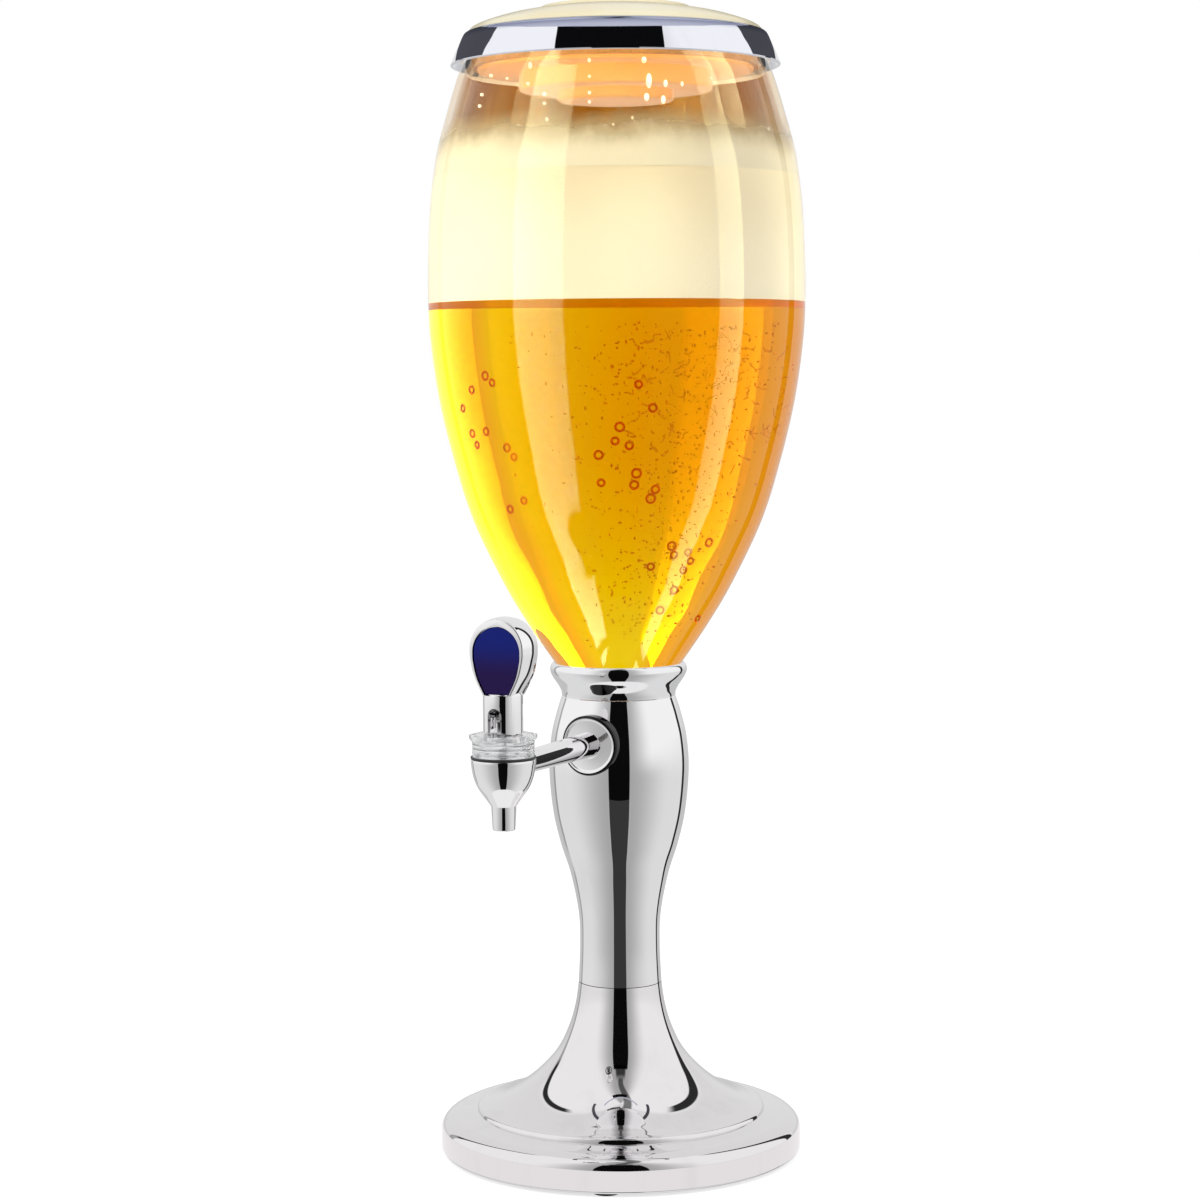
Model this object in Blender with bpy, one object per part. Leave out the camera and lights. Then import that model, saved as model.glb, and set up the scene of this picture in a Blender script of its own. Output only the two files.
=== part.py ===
"""A table-top beer tower: a chromed stand, a clear egg-shaped barrel with a lift-off lid, and a lever tap.

Everything is in metres and +Z is up. The origin is on the stand's axis at the table, and the tap
points to -Y. Pieces that touch are drawn with a small seat gap between them.
"""

import math

import bmesh
import bpy
from mathutils import Vector

for leftover in list(bpy.data.objects):
    bpy.data.objects.remove(leftover, do_unlink=True)

# Fits that all pieces share
SEAT_GAP = 0.0003
OVERRUN = 0.0020
WELD = 0.000001

# How many flat facets stand for a full circle
BARREL_FACETS = 32
BASE_FACETS = 32
LID_FACETS = 28
COLUMN_FACETS = 24
TAP_FACETS = 20
SMALL_FACETS = 12
HEXAGON_FACETS = 12
BONNET_FACETS = 24

# Base: a hollow trumpet of chromed steel
FOOT_PROUD = 0.0015
BASE_RADIUS = 0.0825
BASE_WALL = 0.0016
RIM_SIDE = 0.0090
RIM_EDGE = 0.0015
SHOULDER_WIDTH = 0.0095
SHOULDER_RISE = 0.0071
LEDGE_RISE = 0.0018
LEDGE_WIDTH = 0.0070
STEP_SETBACK = 0.0018
STEP_RISE = 0.0022
NECK_RADIUS = 0.0190
BASE_HEIGHT = 0.0783
SPIGOT_HEIGHT = 0.0080
FLARE_SHARES = (
    (0.936, 0.012),
    (0.771, 0.060),
    (0.551, 0.168),
    (0.352, 0.310),
    (0.198, 0.466),
    (0.088, 0.660),
    (0.029, 0.836),
)

# Underside of the base: pressed plate, iron ballast, rubber feet and a pad over the bolt
PLATE_THICKNESS = 0.0015
PLATE_INSET = 0.0005
RECESS_RADIUS = 0.0200
RECESS_DEPTH = 0.0095
BALLAST_INSET = 0.0130
BALLAST_EDGE = 0.0015
FOOT_COUNT = 4
FOOT_CLOCK = math.radians(20.0)
FOOT_INSET = 0.0090
FOOT_RADIUS = 0.0065
FOOT_STEM_RADIUS = 0.0021
FOOT_HEAD_RADIUS = 0.0029
FOOT_HEAD_HEIGHT = 0.0014
FOOT_EDGE = 0.0004
PAD_LAP = 0.0040

# Tie rod that clamps base, column and outlet cup together
ROD_RADIUS = 0.0040
ROD_TAIL = 0.0007
WASHER_RADIUS = 0.0085
WASHER_THICKNESS = 0.0012
NUT_ACROSS_FLATS = 0.0130
NUT_THICKNESS = 0.0060
LOCK_NUT_THICKNESS = 0.0045

# Column: a bulging tube of chromed steel
COLUMN_TOP = 0.2101
COLUMN_WALL = 0.0018
COLUMN_SLIM_RADIUS = 0.0183
COLUMN_SLIM_SHARE = 0.125
COLUMN_BULGE_RADIUS = 0.0319
COLUMN_BULGE_SHARE = 0.748
COLUMN_RISE_SHARES = ((0.037, 0.239), (0.294, 0.376), (0.640, 0.490), (0.882, 0.604))
COLUMN_FALL_SHARES = ((0.817, 0.862), (0.383, 0.946))
WAIST_RADIUS = 0.0259
LIP_WIDTH = 0.0043
LIP_HEIGHT = 0.0060
LIP_SLOPE = 0.0040
REBATE_DEPTH = 0.0020

# Collar: the flared ring that the barrel stands in
COLLAR_WALL = 0.0016
COLLAR_CLEARANCE = 0.0006
COLLAR_CREASE_STEP = 0.0011
COLLAR_CREASE_RISE = 0.0083
COLLAR_LIP_WIDTH = 0.0017
COLLAR_LIP_HALF_HEIGHT = 0.0032
COLLAR_LIP_STEP = 0.0003

# Outlet cup inside the column top
CUP_FLANGE_THICKNESS = 0.0014
CUP_FLANGE_LAP = 0.0020
CUP_CHAMFER = 0.0013
CUP_CHAMBER_RADIUS = 0.0110
CUP_FLOOR = 0.0031
CUP_BOSS_RADIUS = 0.0085
CUP_BOSS_HEIGHT = 0.0130
ROD_THREAD_DEPTH = 0.0120

# Barrel: clear moulded vessel with a threaded neck and an open mouth
BARREL_WALL = 0.0025
BARREL_NECK_RADIUS = 0.0150
BARREL_NECK_BORE = 0.0115
BARREL_NECK_LENGTH = 0.0128
BARREL_FLOOR_RISE = 0.0010
NECK_GASKET_THICKNESS = 0.0015
BARREL_FOOT_RADIUS = 0.0185
BARREL_RADIUS = 0.0850
BARREL_WIDEST_RISE = 0.1801
BARREL_SHOULDER_RISE = 0.1035
BARREL_MOUTH_RADIUS = 0.0680
BARREL_RIM_WIDTH = 0.0020
BARREL_RIM_HEIGHT = 0.0020
BARREL_RISE_SHARES = (
    (0.165, 0.0794),
    (0.352, 0.1816),
    (0.511, 0.2826),
    (0.705, 0.4342),
    (0.833, 0.5858),
    (0.929, 0.7363),
    (0.986, 0.8862),
)
BARREL_FALL_SHARES = ((0.976, 0.222), (0.895, 0.425), (0.741, 0.605), (0.488, 0.765), (0.190, 0.925))

# Lid: chromed band, pale dome, stepped plug and silicone seal
PLUG_FLANGE_INSET = 0.0007
PLUG_FLANGE_THICKNESS = 0.0017
PLUG_DEPTH = 0.0071
PLUG_STEP_WIDTH = 0.0187
PLUG_STEP_DEPTH = 0.0082
PLUG_WELL_STEP = 0.0171
PLUG_WELL_DEPTH = 0.0049
PLUG_ROUND = 0.0020
PLUG_WALL = 0.0018
SEAL_REACH = 0.0029
SEAL_HEIGHT = 0.0050
SEAL_LIP = 0.0008
BAND_OVERHANG = 0.0040
BAND_TAPER = 0.0044
BAND_HEIGHT = 0.0101
BAND_WALL = 0.0015
BAND_DROP = 0.0040
BAND_EDGE = 0.0006
BEVEL_RISE = 0.0037
BEVEL_WIDTH = 0.0023
BAND_LIP = 0.0004
DOME_WALL = 0.0018
DOME_SKIRT_HEIGHT = 0.0085
DOME_RISE = 0.0100
DOME_EDGE = 0.0006
DOME_DISC_RADIUS = 0.0338
DOME_DISC_RISE = 0.0014
DOME_CROWN = 0.0008
DOME_SHARES = ((0.878, 0.30), (0.494, 0.70), (0.067, 0.96))

# Tap: where it stands and how its arm runs
TAP_REACH = 0.1150
PORT_DEPTH = 0.0083
ARM_TIP_RADIUS = 0.0043
ARM_COVER = 0.0003
ARM_ROOT_RADIUS = 0.0050
ARM_BORE = 0.0019
SHANK_RADIUS = 0.0040
SHANK_DEPTH = 0.0080
SHANK_NUT_ACROSS_FLATS = 0.0120
SHANK_NUT_THICKNESS = 0.0036
PORT_SEAL_RADIUS = 0.0065
PORT_SEAL_THICKNESS = 0.0020
ESCUTCHEON_RADIUS = 0.0131
ESCUTCHEON_FRONT = 0.0037
ESCUTCHEON_EDGE = 0.0009
ESCUTCHEON_DISH = 0.0010
ESCUTCHEON_DISH_RADIUS = 0.0108

# Tap body: bowl, spout, valve seat and threaded neck
SPOUT_TIP_RADIUS = 0.0048
SPOUT_RADIUS = 0.00535
SPOUT_LENGTH = 0.0101
SPOUT_BORE = 0.0036
BOWL_RADIUS = 0.01375
BOWL_HEIGHT = 0.0203
BOWL_RIM = 0.0018
BOWL_SHARES = ((0.30, 0.20), (0.67, 0.44), (0.89, 0.70))
TAP_NECK_RADIUS = 0.0108
TAP_NECK_HEIGHT = 0.0076
CHAMBER_RADIUS = 0.0080
SEAT_STEP = 0.0064
SEAT_RISE = 0.0040

# Clear bonnet and its gasket
GASKET_THICKNESS = 0.0010
GASKET_PROUD = 0.0002
BONNET_CLEARANCE = 0.0012
BONNET_WALL = 0.0011
BONNET_FLANGE = 0.0013
BONNET_EDGE = 0.0016
BONNET_FLARE = 0.0018
BONNET_TOP_THICKNESS = 0.0025
BONNET_RECESS = 0.0010

# Stem, plug and spring
STEM_RADIUS = 0.0024
STEM_TIP_RADIUS = 0.0015
STEM_TIP_LENGTH = 0.0045
STEM_COLLAR_RADIUS = 0.0034
STEM_COLLAR_HEIGHT = 0.0012
VALVE_PLUG_RADIUS = 0.0060
VALVE_PLUG_ENTRY = 0.0006
VALVE_PLUG_HEIGHT = 0.0067
PISTON_CLEARANCE = 0.0006
PISTON_DISC = 0.0006
RING_SECTION_RADIUS = 0.0007
SPRING_WIRE_RADIUS = 0.0003
SPRING_RADIUS = 0.0056
SPRING_TURNS = 4
SPRING_STEPS = 12
SPRING_SIDES = 5
STEM_HEAD_RADIUS = 0.0036

# Lever: pivot, cam foot, hub and paddle
PIN_RADIUS = 0.0012
PIN_COVER = 0.0009
PIN_RISE = 0.0075
CAM_LIFT = 0.0038
TILT_LIMIT = math.radians(32.0)
CAM_STEPS = 7
HUB_RADIUS = 0.00845
HUB_HEIGHT = 0.0161
HUB_DOME = 0.0040
HUB_BORE = 0.0065
HUB_BORE_RISE = 0.0052
HUB_SLOT_HALF_WIDTH = 0.0032
HUB_SLOT_RISE = 0.0036
PADDLE_HEIGHT = 0.0323
PADDLE_HALF_WIDTH = 0.0127
PADDLE_FOOT_HALF_WIDTH = 0.0066
PADDLE_SIDE_SHARES = ((0.0, 0.0), (0.41, 0.66), (0.79, 0.965), (1.0, 1.0))
PADDLE_THICKNESS = 0.0165
PADDLE_FRONT = 0.0062
PADDLE_FACE_EDGE = 0.0005
PADDLE_BACK_ROUND = 0.0034
INSERT_BORDER = 0.0025
INSERT_DROP = 0.0008
INSERT_THICKNESS = 0.0010
INSERT_SINK = 0.0005

# Radii that follow from the sizes above
STEP_RADIUS = BASE_RADIUS - SHOULDER_WIDTH - LEDGE_WIDTH
BALLAST_RADIUS = BASE_RADIUS - BALLAST_INSET
FOOT_CIRCLE = BASE_RADIUS - FOOT_INSET
COLUMN_BORE = COLUMN_SLIM_RADIUS - COLUMN_WALL
LIP_BORE = WAIST_RADIUS - LIP_WIDTH
CUP_RADIUS = LIP_BORE - SEAT_GAP
BARREL_RIM_RADIUS = BARREL_MOUTH_RADIUS + BARREL_RIM_WIDTH
MOUTH_BORE = BARREL_MOUTH_RADIUS - BARREL_WALL
PLUG_FLANGE_RADIUS = BARREL_RIM_RADIUS - PLUG_FLANGE_INSET
SEAL_RADIUS = MOUTH_BORE - SEAT_GAP
PLUG_RADIUS = SEAL_RADIUS - SEAL_REACH - SEAT_GAP
PLUG_STEP_RADIUS = PLUG_RADIUS - PLUG_STEP_WIDTH
PLUG_WELL_RADIUS = PLUG_STEP_RADIUS - PLUG_WELL_STEP
BAND_RADIUS = BARREL_RIM_RADIUS + BAND_OVERHANG
BAND_TOP_RADIUS = BAND_RADIUS - BAND_TAPER
DOME_SKIRT_RADIUS = BAND_TOP_RADIUS - BEVEL_WIDTH - BAND_LIP - SEAT_GAP
GASKET_RADIUS = BOWL_RADIUS + GASKET_PROUD
BONNET_BORE = TAP_NECK_RADIUS + BONNET_CLEARANCE
BONNET_SKIRT_RADIUS = BONNET_BORE + BONNET_WALL
BONNET_CORNER_RADIUS = BONNET_SKIRT_RADIUS + BONNET_FLANGE
VALVE_PLUG_NOSE = SPOUT_BORE - VALVE_PLUG_ENTRY
PISTON_RADIUS = CHAMBER_RADIUS - PISTON_CLEARANCE
PIN_HALF_LENGTH = HUB_RADIUS - PIN_COVER

# Heights that follow from the sizes above
RIM_TOP = FOOT_PROUD + RIM_SIDE
SHOULDER_TOP = RIM_TOP + SHOULDER_RISE
LEDGE_TOP = SHOULDER_TOP + LEDGE_RISE
STEP_TOP = LEDGE_TOP + STEP_RISE
PLATE_BOTTOM = FOOT_PROUD + PLATE_INSET
PLATE_TOP = PLATE_BOTTOM + PLATE_THICKNESS
RECESS_ROOF = PLATE_BOTTOM + RECESS_DEPTH
COLUMN_BOTTOM = BASE_HEIGHT + SEAT_GAP
COLLAR_BOTTOM = COLUMN_TOP + SEAT_GAP
CUP_FLANGE_BOTTOM = COLUMN_TOP - REBATE_DEPTH + SEAT_GAP
CUP_TOP = CUP_FLANGE_BOTTOM + CUP_FLANGE_THICKNESS
BARREL_FOOT = CUP_TOP + SEAT_GAP + NECK_GASKET_THICKNESS + SEAT_GAP
BARREL_NECK_BOTTOM = BARREL_FOOT - BARREL_NECK_LENGTH
ARM_HEIGHT = BARREL_NECK_BOTTOM - PORT_DEPTH
CUP_FLOOR_TOP = ARM_HEIGHT - SHANK_RADIUS - SEAT_GAP
CUP_BOTTOM = CUP_FLOOR_TOP - CUP_FLOOR
BARREL_WIDEST = BARREL_FOOT + BARREL_WIDEST_RISE
BARREL_RIM_BOTTOM = BARREL_WIDEST + BARREL_SHOULDER_RISE
BARREL_TOP = BARREL_RIM_BOTTOM + BARREL_RIM_HEIGHT
BOWL_TOP = ARM_HEIGHT + ARM_TIP_RADIUS + ARM_COVER
SPOUT_TOP = BOWL_TOP - BOWL_HEIGHT
SPOUT_BOTTOM = SPOUT_TOP - SPOUT_LENGTH
SEAT_HEIGHT = SPOUT_TOP + SEAT_STEP
TAP_NECK_TOP = BOWL_TOP + TAP_NECK_HEIGHT
BONNET_BOTTOM = BOWL_TOP + SEAT_GAP + GASKET_THICKNESS + SEAT_GAP
BONNET_ROOF = TAP_NECK_TOP + SEAT_GAP
BONNET_TOP = BONNET_ROOF + BONNET_TOP_THICKNESS
HUB_BOTTOM = BONNET_TOP + SEAT_GAP
PIN_HEIGHT = HUB_BOTTOM + PIN_RISE
PISTON_BOTTOM = ARM_HEIGHT + ARM_BORE + SEAT_GAP


def finish(name, colour, roughness, metallic=0.0, transmission=0.0):
    """A plain material for one piece."""
    look = bpy.data.materials.new(name)
    look.use_nodes = True
    shader = look.node_tree.nodes["Principled BSDF"]
    shader.inputs["Base Color"].default_value = (*colour, 1.0)
    shader.inputs["Roughness"].default_value = roughness
    shader.inputs["Metallic"].default_value = metallic
    shader.inputs["Transmission Weight"].default_value = transmission
    look.diffuse_color = (*colour, 1.0)
    return look


def chrome(name):
    return finish(name, (0.80, 0.80, 0.81), 0.06, metallic=1.0)


def steel(name):
    return finish(name, (0.55, 0.56, 0.57), 0.30, metallic=1.0)


def rubber(name):
    return finish(name, (0.10, 0.10, 0.10), 0.80)


def silicone(name):
    return finish(name, (0.72, 0.72, 0.70), 0.50)


def clear(name):
    return finish(name, (0.96, 0.97, 0.97), 0.05, transmission=0.95)


def new_object(name, form, look):
    """Turns a bmesh into a smooth-shaded object that keeps its sharp corners."""
    bmesh.ops.remove_doubles(form, verts=form.verts, dist=WELD)
    bmesh.ops.recalc_face_normals(form, faces=form.faces)
    mesh = bpy.data.meshes.new(name)
    form.to_mesh(mesh)
    form.free()
    mesh.shade_smooth()
    mesh.set_sharp_from_angle(angle=math.radians(35.0))
    mesh.materials.append(look)
    piece = bpy.data.objects.new(name, mesh)
    bpy.context.scene.collection.objects.link(piece)
    return piece


def turned(name, profile, facets, look):
    """Spins (radius, height) points round the Z axis. A pair of points on the axis stays open."""
    form = bmesh.new()
    points = [form.verts.new((radius, 0.0, height)) for radius, height in profile]
    pairs = zip(points, points[1:] + points[:1])
    edges = [form.edges.new(pair) for pair in pairs if pair[0].co.x + pair[1].co.x > WELD]
    bmesh.ops.spin(
        form,
        geom=points + edges,
        cent=(0.0, 0.0, 0.0),
        axis=(0.0, 0.0, 1.0),
        angle=math.tau,
        steps=facets,
        use_merge=True,
    )
    return new_object(name, form, look)


def lofted(name, rings, look, ring_shaped=False):
    """Joins loops of equal count. The ends are capped, or joined to each other on a ring."""
    form = bmesh.new()
    loops = [[form.verts.new(point) for point in ring] for ring in rings]
    followers = loops[1:] + loops[:1] if ring_shaped else loops[1:]
    for lower, upper in zip(loops, followers):
        for index, corner in enumerate(lower):
            beside = (index + 1) % len(lower)
            form.faces.new((corner, lower[beside], upper[beside], upper[index]))
    if not ring_shaped:
        form.faces.new(loops[0][::-1])
        form.faces.new(loops[-1])
    return new_object(name, form, look)


def cylinder(name, radius, bottom, top, facets, look=None):
    """A plain round bar along Z."""
    profile = [(0.0, bottom), (radius, bottom), (radius, top), (0.0, top)]
    return turned(name, profile, facets, look or steel(name))


def along_y(piece, height, front):
    """Lays a piece that was drawn along +Z down, so that it points to -Y from (0, front, height)."""
    piece.rotation_euler = (math.pi / 2.0, 0.0, 0.0)
    piece.location = (0.0, front, height)
    return piece


def boolean(body, tool, operation):
    """Works a tool into a body, and leaves the tool as a hidden guide."""
    tool.hide_render = True
    tool.display_type = "WIRE"
    step = body.modifiers.new(tool.name, "BOOLEAN")
    step.operation = operation
    step.object = tool
    return body


def arc(centre, width, rise, start, end, steps):
    """Points of an elliptic arc from one angle to another."""
    angles = [start + (end - start) * step / steps for step in range(steps + 1)]
    return [(centre[0] + width * math.cos(angle), centre[1] + rise * math.sin(angle)) for angle in angles]


def flowing(points, steps):
    """A smooth curve through the points, with some steps from each point to the next."""
    curve = []
    for index in range(len(points) - 1):
        before = Vector(points[max(index - 1, 0)])
        start = Vector(points[index])
        end = Vector(points[index + 1])
        after = Vector(points[min(index + 2, len(points) - 1)])
        for step in range(steps):
            share = step / steps
            bend = 2 * start + (end - before) * share
            bend += (2 * before - 5 * start + 4 * end - after) * share**2
            bend += (3 * start - before - 3 * end + after) * share**3
            curve.append(tuple(bend / 2))
    return curve + [tuple(points[-1])]


def inner_face(path, wall):
    """The inside of a wall whose outside is the path, listed upwards."""
    moved = []
    for index, (radius, height) in enumerate(path):
        before = Vector(path[max(index - 1, 0)])
        after = Vector(path[min(index + 1, len(path) - 1)])
        along = (after - before).normalized()
        moved.append((radius - wall * along.y, height + wall * along.x))
    return moved


def between(shares, low, high):
    """Places from pairs of shares of the way from one (radius, height) corner to another."""
    return [
        (low[0] + (high[0] - low[0]) * across, low[1] + (high[1] - low[1]) * up)
        for across, up in shares
    ]


def hexagon_radius(across_flats, angle):
    """How far a hexagon with a corner on the X axis reaches at an angle."""
    sixth = math.tau / 6
    return across_flats / 2 / math.cos(angle % sixth - sixth / 2)


def circle(radius, height, facets):
    angles = [math.tau * step / facets for step in range(facets)]
    return [(radius * math.cos(angle), radius * math.sin(angle), height) for angle in angles]


def hexagon(across_flats, height, facets):
    angles = [math.tau * step / facets for step in range(facets)]
    reaches = [hexagon_radius(across_flats, angle) for angle in angles]
    places = zip(reaches, angles)
    return [(reach * math.cos(angle), reach * math.sin(angle), height) for reach, angle in places]


def hex_nut(name, across_flats, bore, bottom, top, look):
    """A hexagon nut along Z."""
    rings = [
        circle(bore, bottom, HEXAGON_FACETS),
        hexagon(across_flats, bottom, HEXAGON_FACETS),
        hexagon(across_flats, top, HEXAGON_FACETS),
        circle(bore, top, HEXAGON_FACETS),
    ]
    return lofted(name, rings, look, ring_shaped=True)


def pivot(name, location):
    """An empty on the axis of a moving group."""
    empty = bpy.data.objects.new(name, None)
    empty.empty_display_size = BASE_RADIUS
    empty.location = location
    bpy.context.scene.collection.objects.link(empty)
    return empty


def carry(empty, *pieces):
    for piece in pieces:
        piece.parent = empty


def base_shoulder(steps):
    """The rounded shoulder above the base's rim."""
    centre = (BASE_RADIUS - SHOULDER_WIDTH, RIM_TOP)
    return arc(centre, SHOULDER_WIDTH, SHOULDER_RISE, 0.0, math.pi / 2, steps)


def base_outline():
    """The base's outside, from the rim's lower edge up to the neck."""
    edge_centre = (BASE_RADIUS - RIM_EDGE, FOOT_PROUD + RIM_EDGE)
    lower_edge = arc(edge_centre, RIM_EDGE, RIM_EDGE, -math.pi / 2, 0.0, 2)
    step_centre = (STEP_RADIUS - STEP_SETBACK, LEDGE_TOP)
    step = arc(step_centre, STEP_SETBACK, STEP_RISE, 0.0, math.pi / 2, 2)
    return lower_edge + base_shoulder(5) + step + base_flare(1)[1:]


def base_flare(steps):
    """The trumpet-shaped sweep from the step ring up to the neck."""
    low = (NECK_RADIUS, STEP_TOP)
    high = (STEP_RADIUS - STEP_SETBACK, BASE_HEIGHT)
    middle = between(FLARE_SHARES, low, high)
    return flowing([(high[0], low[1])] + middle + [(low[0], high[1])], steps)


def make_base_shell():
    skin = [(BASE_RADIUS, FOOT_PROUD)] + base_shoulder(3) + [(STEP_RADIUS, LEDGE_TOP)] + base_flare(1)[1:]
    inside = inner_face(skin, BASE_WALL)
    inside[0] = (BASE_RADIUS - BASE_WALL, FOOT_PROUD)
    inside[-1] = (NECK_RADIUS - BASE_WALL, BASE_HEIGHT - BASE_WALL)
    spigot = COLUMN_BORE - SEAT_GAP
    top = BASE_HEIGHT + SPIGOT_HEIGHT
    locating_lip = [
        (spigot, BASE_HEIGHT),
        (spigot, top),
        (spigot - BASE_WALL, top),
        (spigot - BASE_WALL, BASE_HEIGHT - BASE_WALL),
    ]
    profile = base_outline() + locating_lip + inside[::-1]
    return turned("base_shell", profile, BASE_FACETS, chrome("base_chrome"))


def foot_place(index):
    """Centre of one rubber foot. The first lies a little to the right of the tap."""
    angle = FOOT_CLOCK - math.pi / 2 + math.tau * index / FOOT_COUNT
    return (FOOT_CIRCLE * math.cos(angle), FOOT_CIRCLE * math.sin(angle), 0.0)


def make_base_plate():
    outer = BASE_RADIUS - BASE_WALL - SEAT_GAP
    hole = ROD_RADIUS + SEAT_GAP
    roof_top = RECESS_ROOF + PLATE_THICKNESS
    wall = RECESS_RADIUS + PLATE_THICKNESS
    profile = [
        (outer, PLATE_BOTTOM),
        (outer, PLATE_TOP),
        (wall, PLATE_TOP),
        (wall, roof_top),
        (hole, roof_top),
        (hole, RECESS_ROOF),
        (RECESS_RADIUS, RECESS_ROOF),
        (RECESS_RADIUS, PLATE_BOTTOM),
    ]
    plate = turned("base_plate", profile, BASE_FACETS, finish("plate_black", (0.05, 0.05, 0.05), 0.55))
    for index in range(FOOT_COUNT):
        drill = cylinder(
            f"foot_hole_{index + 1}",
            FOOT_STEM_RADIUS + SEAT_GAP,
            PLATE_BOTTOM - OVERRUN,
            PLATE_TOP + OVERRUN,
            SMALL_FACETS,
        )
        drill.location = foot_place(index)
        boolean(plate, drill, "DIFFERENCE")
    return plate


def make_ballast():
    inner = RECESS_RADIUS + PLATE_THICKNESS + SEAT_GAP
    bottom = PLATE_TOP + SEAT_GAP
    top = SHOULDER_TOP - BASE_WALL - SEAT_GAP
    profile = [
        (inner, bottom),
        (BALLAST_RADIUS, bottom),
        (BALLAST_RADIUS, top - BALLAST_EDGE),
        (BALLAST_RADIUS - BALLAST_EDGE, top),
        (inner, top),
    ]
    look = finish("ballast_iron", (0.20, 0.20, 0.21), 0.65, metallic=1.0)
    return turned("ballast_ring", profile, COLUMN_FACETS, look)


def make_feet():
    pad_top = PLATE_BOTTOM - SEAT_GAP
    head_bottom = PLATE_TOP + SEAT_GAP
    profile = [
        (0.0, 0.0),
        (FOOT_RADIUS - FOOT_EDGE, 0.0),
        (FOOT_RADIUS, FOOT_EDGE),
        (FOOT_RADIUS, pad_top),
        (FOOT_STEM_RADIUS, pad_top),
        (FOOT_STEM_RADIUS, head_bottom),
        (FOOT_HEAD_RADIUS, head_bottom),
        (FOOT_STEM_RADIUS, head_bottom + FOOT_HEAD_HEIGHT),
        (0.0, head_bottom + FOOT_HEAD_HEIGHT),
    ]
    for index in range(FOOT_COUNT):
        name = f"rubber_foot_{index + 1}"
        foot = turned(name, profile, SMALL_FACETS, rubber(name))
        foot.location = foot_place(index)


def make_centre_pad():
    radius = RECESS_RADIUS + PAD_LAP
    top = PLATE_BOTTOM - SEAT_GAP
    profile = [(0.0, 0.0), (radius - FOOT_EDGE, 0.0), (radius, FOOT_EDGE), (radius, top), (0.0, top)]
    return turned("centre_pad", profile, COLUMN_FACETS, rubber("pad_rubber"))


def make_tie_rod():
    """The long threaded rod with its washer and nut below, and its lock nut under the outlet cup."""
    washer_top = RECESS_ROOF - SEAT_GAP
    washer_bottom = washer_top - WASHER_THICKNESS
    nut_top = washer_bottom - SEAT_GAP
    nut_bottom = nut_top - NUT_THICKNESS
    hole = ROD_RADIUS + SEAT_GAP
    boss_bottom = CUP_BOTTOM - CUP_BOSS_HEIGHT
    rod_top = boss_bottom + ROD_THREAD_DEPTH
    cylinder("tie_rod", ROD_RADIUS, nut_bottom - ROD_TAIL, rod_top, SMALL_FACETS, steel("rod_steel"))
    ring = [
        (hole, washer_bottom),
        (WASHER_RADIUS, washer_bottom),
        (WASHER_RADIUS, washer_top),
        (hole, washer_top),
    ]
    turned("tie_rod_washer", ring, SMALL_FACETS, steel("washer_steel"))
    hex_nut("tie_rod_nut", NUT_ACROSS_FLATS, hole, nut_bottom, nut_top, steel("nut_steel"))
    lock_top = boss_bottom - SEAT_GAP
    lock_bottom = lock_top - LOCK_NUT_THICKNESS
    hex_nut("rod_lock_nut", NUT_ACROSS_FLATS, hole, lock_bottom, lock_top, steel("lock_nut_steel"))


def column_outline(steps):
    """The column's outside, from the base's neck up to the waist under the collar."""
    height = COLUMN_TOP - COLUMN_BOTTOM
    slim = (COLUMN_SLIM_RADIUS, COLUMN_BOTTOM + height * COLUMN_SLIM_SHARE)
    bulge = (COLUMN_BULGE_RADIUS, COLUMN_BOTTOM + height * COLUMN_BULGE_SHARE)
    rise = between(COLUMN_RISE_SHARES, (COLUMN_SLIM_RADIUS, COLUMN_BOTTOM), (COLUMN_BULGE_RADIUS, COLUMN_TOP))
    fall = between(COLUMN_FALL_SHARES, (WAIST_RADIUS, COLUMN_BOTTOM), (COLUMN_BULGE_RADIUS, COLUMN_TOP))
    foot = (NECK_RADIUS, COLUMN_BOTTOM)
    waist = (WAIST_RADIUS, COLUMN_TOP)
    return flowing([foot, slim] + rise + [bulge] + fall + [waist], steps)


def radius_at(outline, height):
    """The radius of a turned outline at a height, on the straight line between its points."""
    for (low_radius, low), (high_radius, high) in zip(outline, outline[1:]):
        if low <= height <= high:
            return low_radius + (high_radius - low_radius) * (height - low) / (high - low)
    return outline[-1][0]


def column_radius(height):
    """The column's outer radius at a height."""
    return radius_at(column_outline(4), height)


def column_envelope(name):
    """The space of the column with a seat gap round it, to cut what seats on its skin."""
    skin = [(radius + SEAT_GAP, height) for radius, height in column_outline(2)]
    return turned(name, [(0.0, COLUMN_BOTTOM)] + skin + [(0.0, COLUMN_TOP)], 2 * COLUMN_FACETS, steel(name))


def make_column():
    lip_bottom = COLUMN_TOP - REBATE_DEPTH - LIP_HEIGHT
    slim_height = COLUMN_BOTTOM + (COLUMN_TOP - COLUMN_BOTTOM) * COLUMN_SLIM_SHARE
    rebate = CUP_RADIUS + CUP_FLANGE_LAP + SEAT_GAP
    top = [
        (rebate, COLUMN_TOP),
        (rebate, COLUMN_TOP - REBATE_DEPTH),
        (LIP_BORE, COLUMN_TOP - REBATE_DEPTH),
        (LIP_BORE, lip_bottom),
    ]
    slope_foot = lip_bottom - LIP_SLOPE
    inside = [
        (radius - COLUMN_WALL if height > slim_height else COLUMN_BORE, height)
        for radius, height in column_outline(1)
        if height < slope_foot
    ]
    inside.append((column_radius(slope_foot) - COLUMN_WALL, slope_foot))
    profile = column_outline(1) + top + inside[::-1]
    column = turned("column_shell", profile, COLUMN_FACETS, chrome("column_chrome"))
    drill = cylinder("shank_hole", SHANK_RADIUS + SEAT_GAP, 0.0, COLUMN_BULGE_RADIUS, SMALL_FACETS)
    along_y(drill, ARM_HEIGHT, -NECK_RADIUS)
    return boolean(column, drill, "DIFFERENCE")


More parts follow.
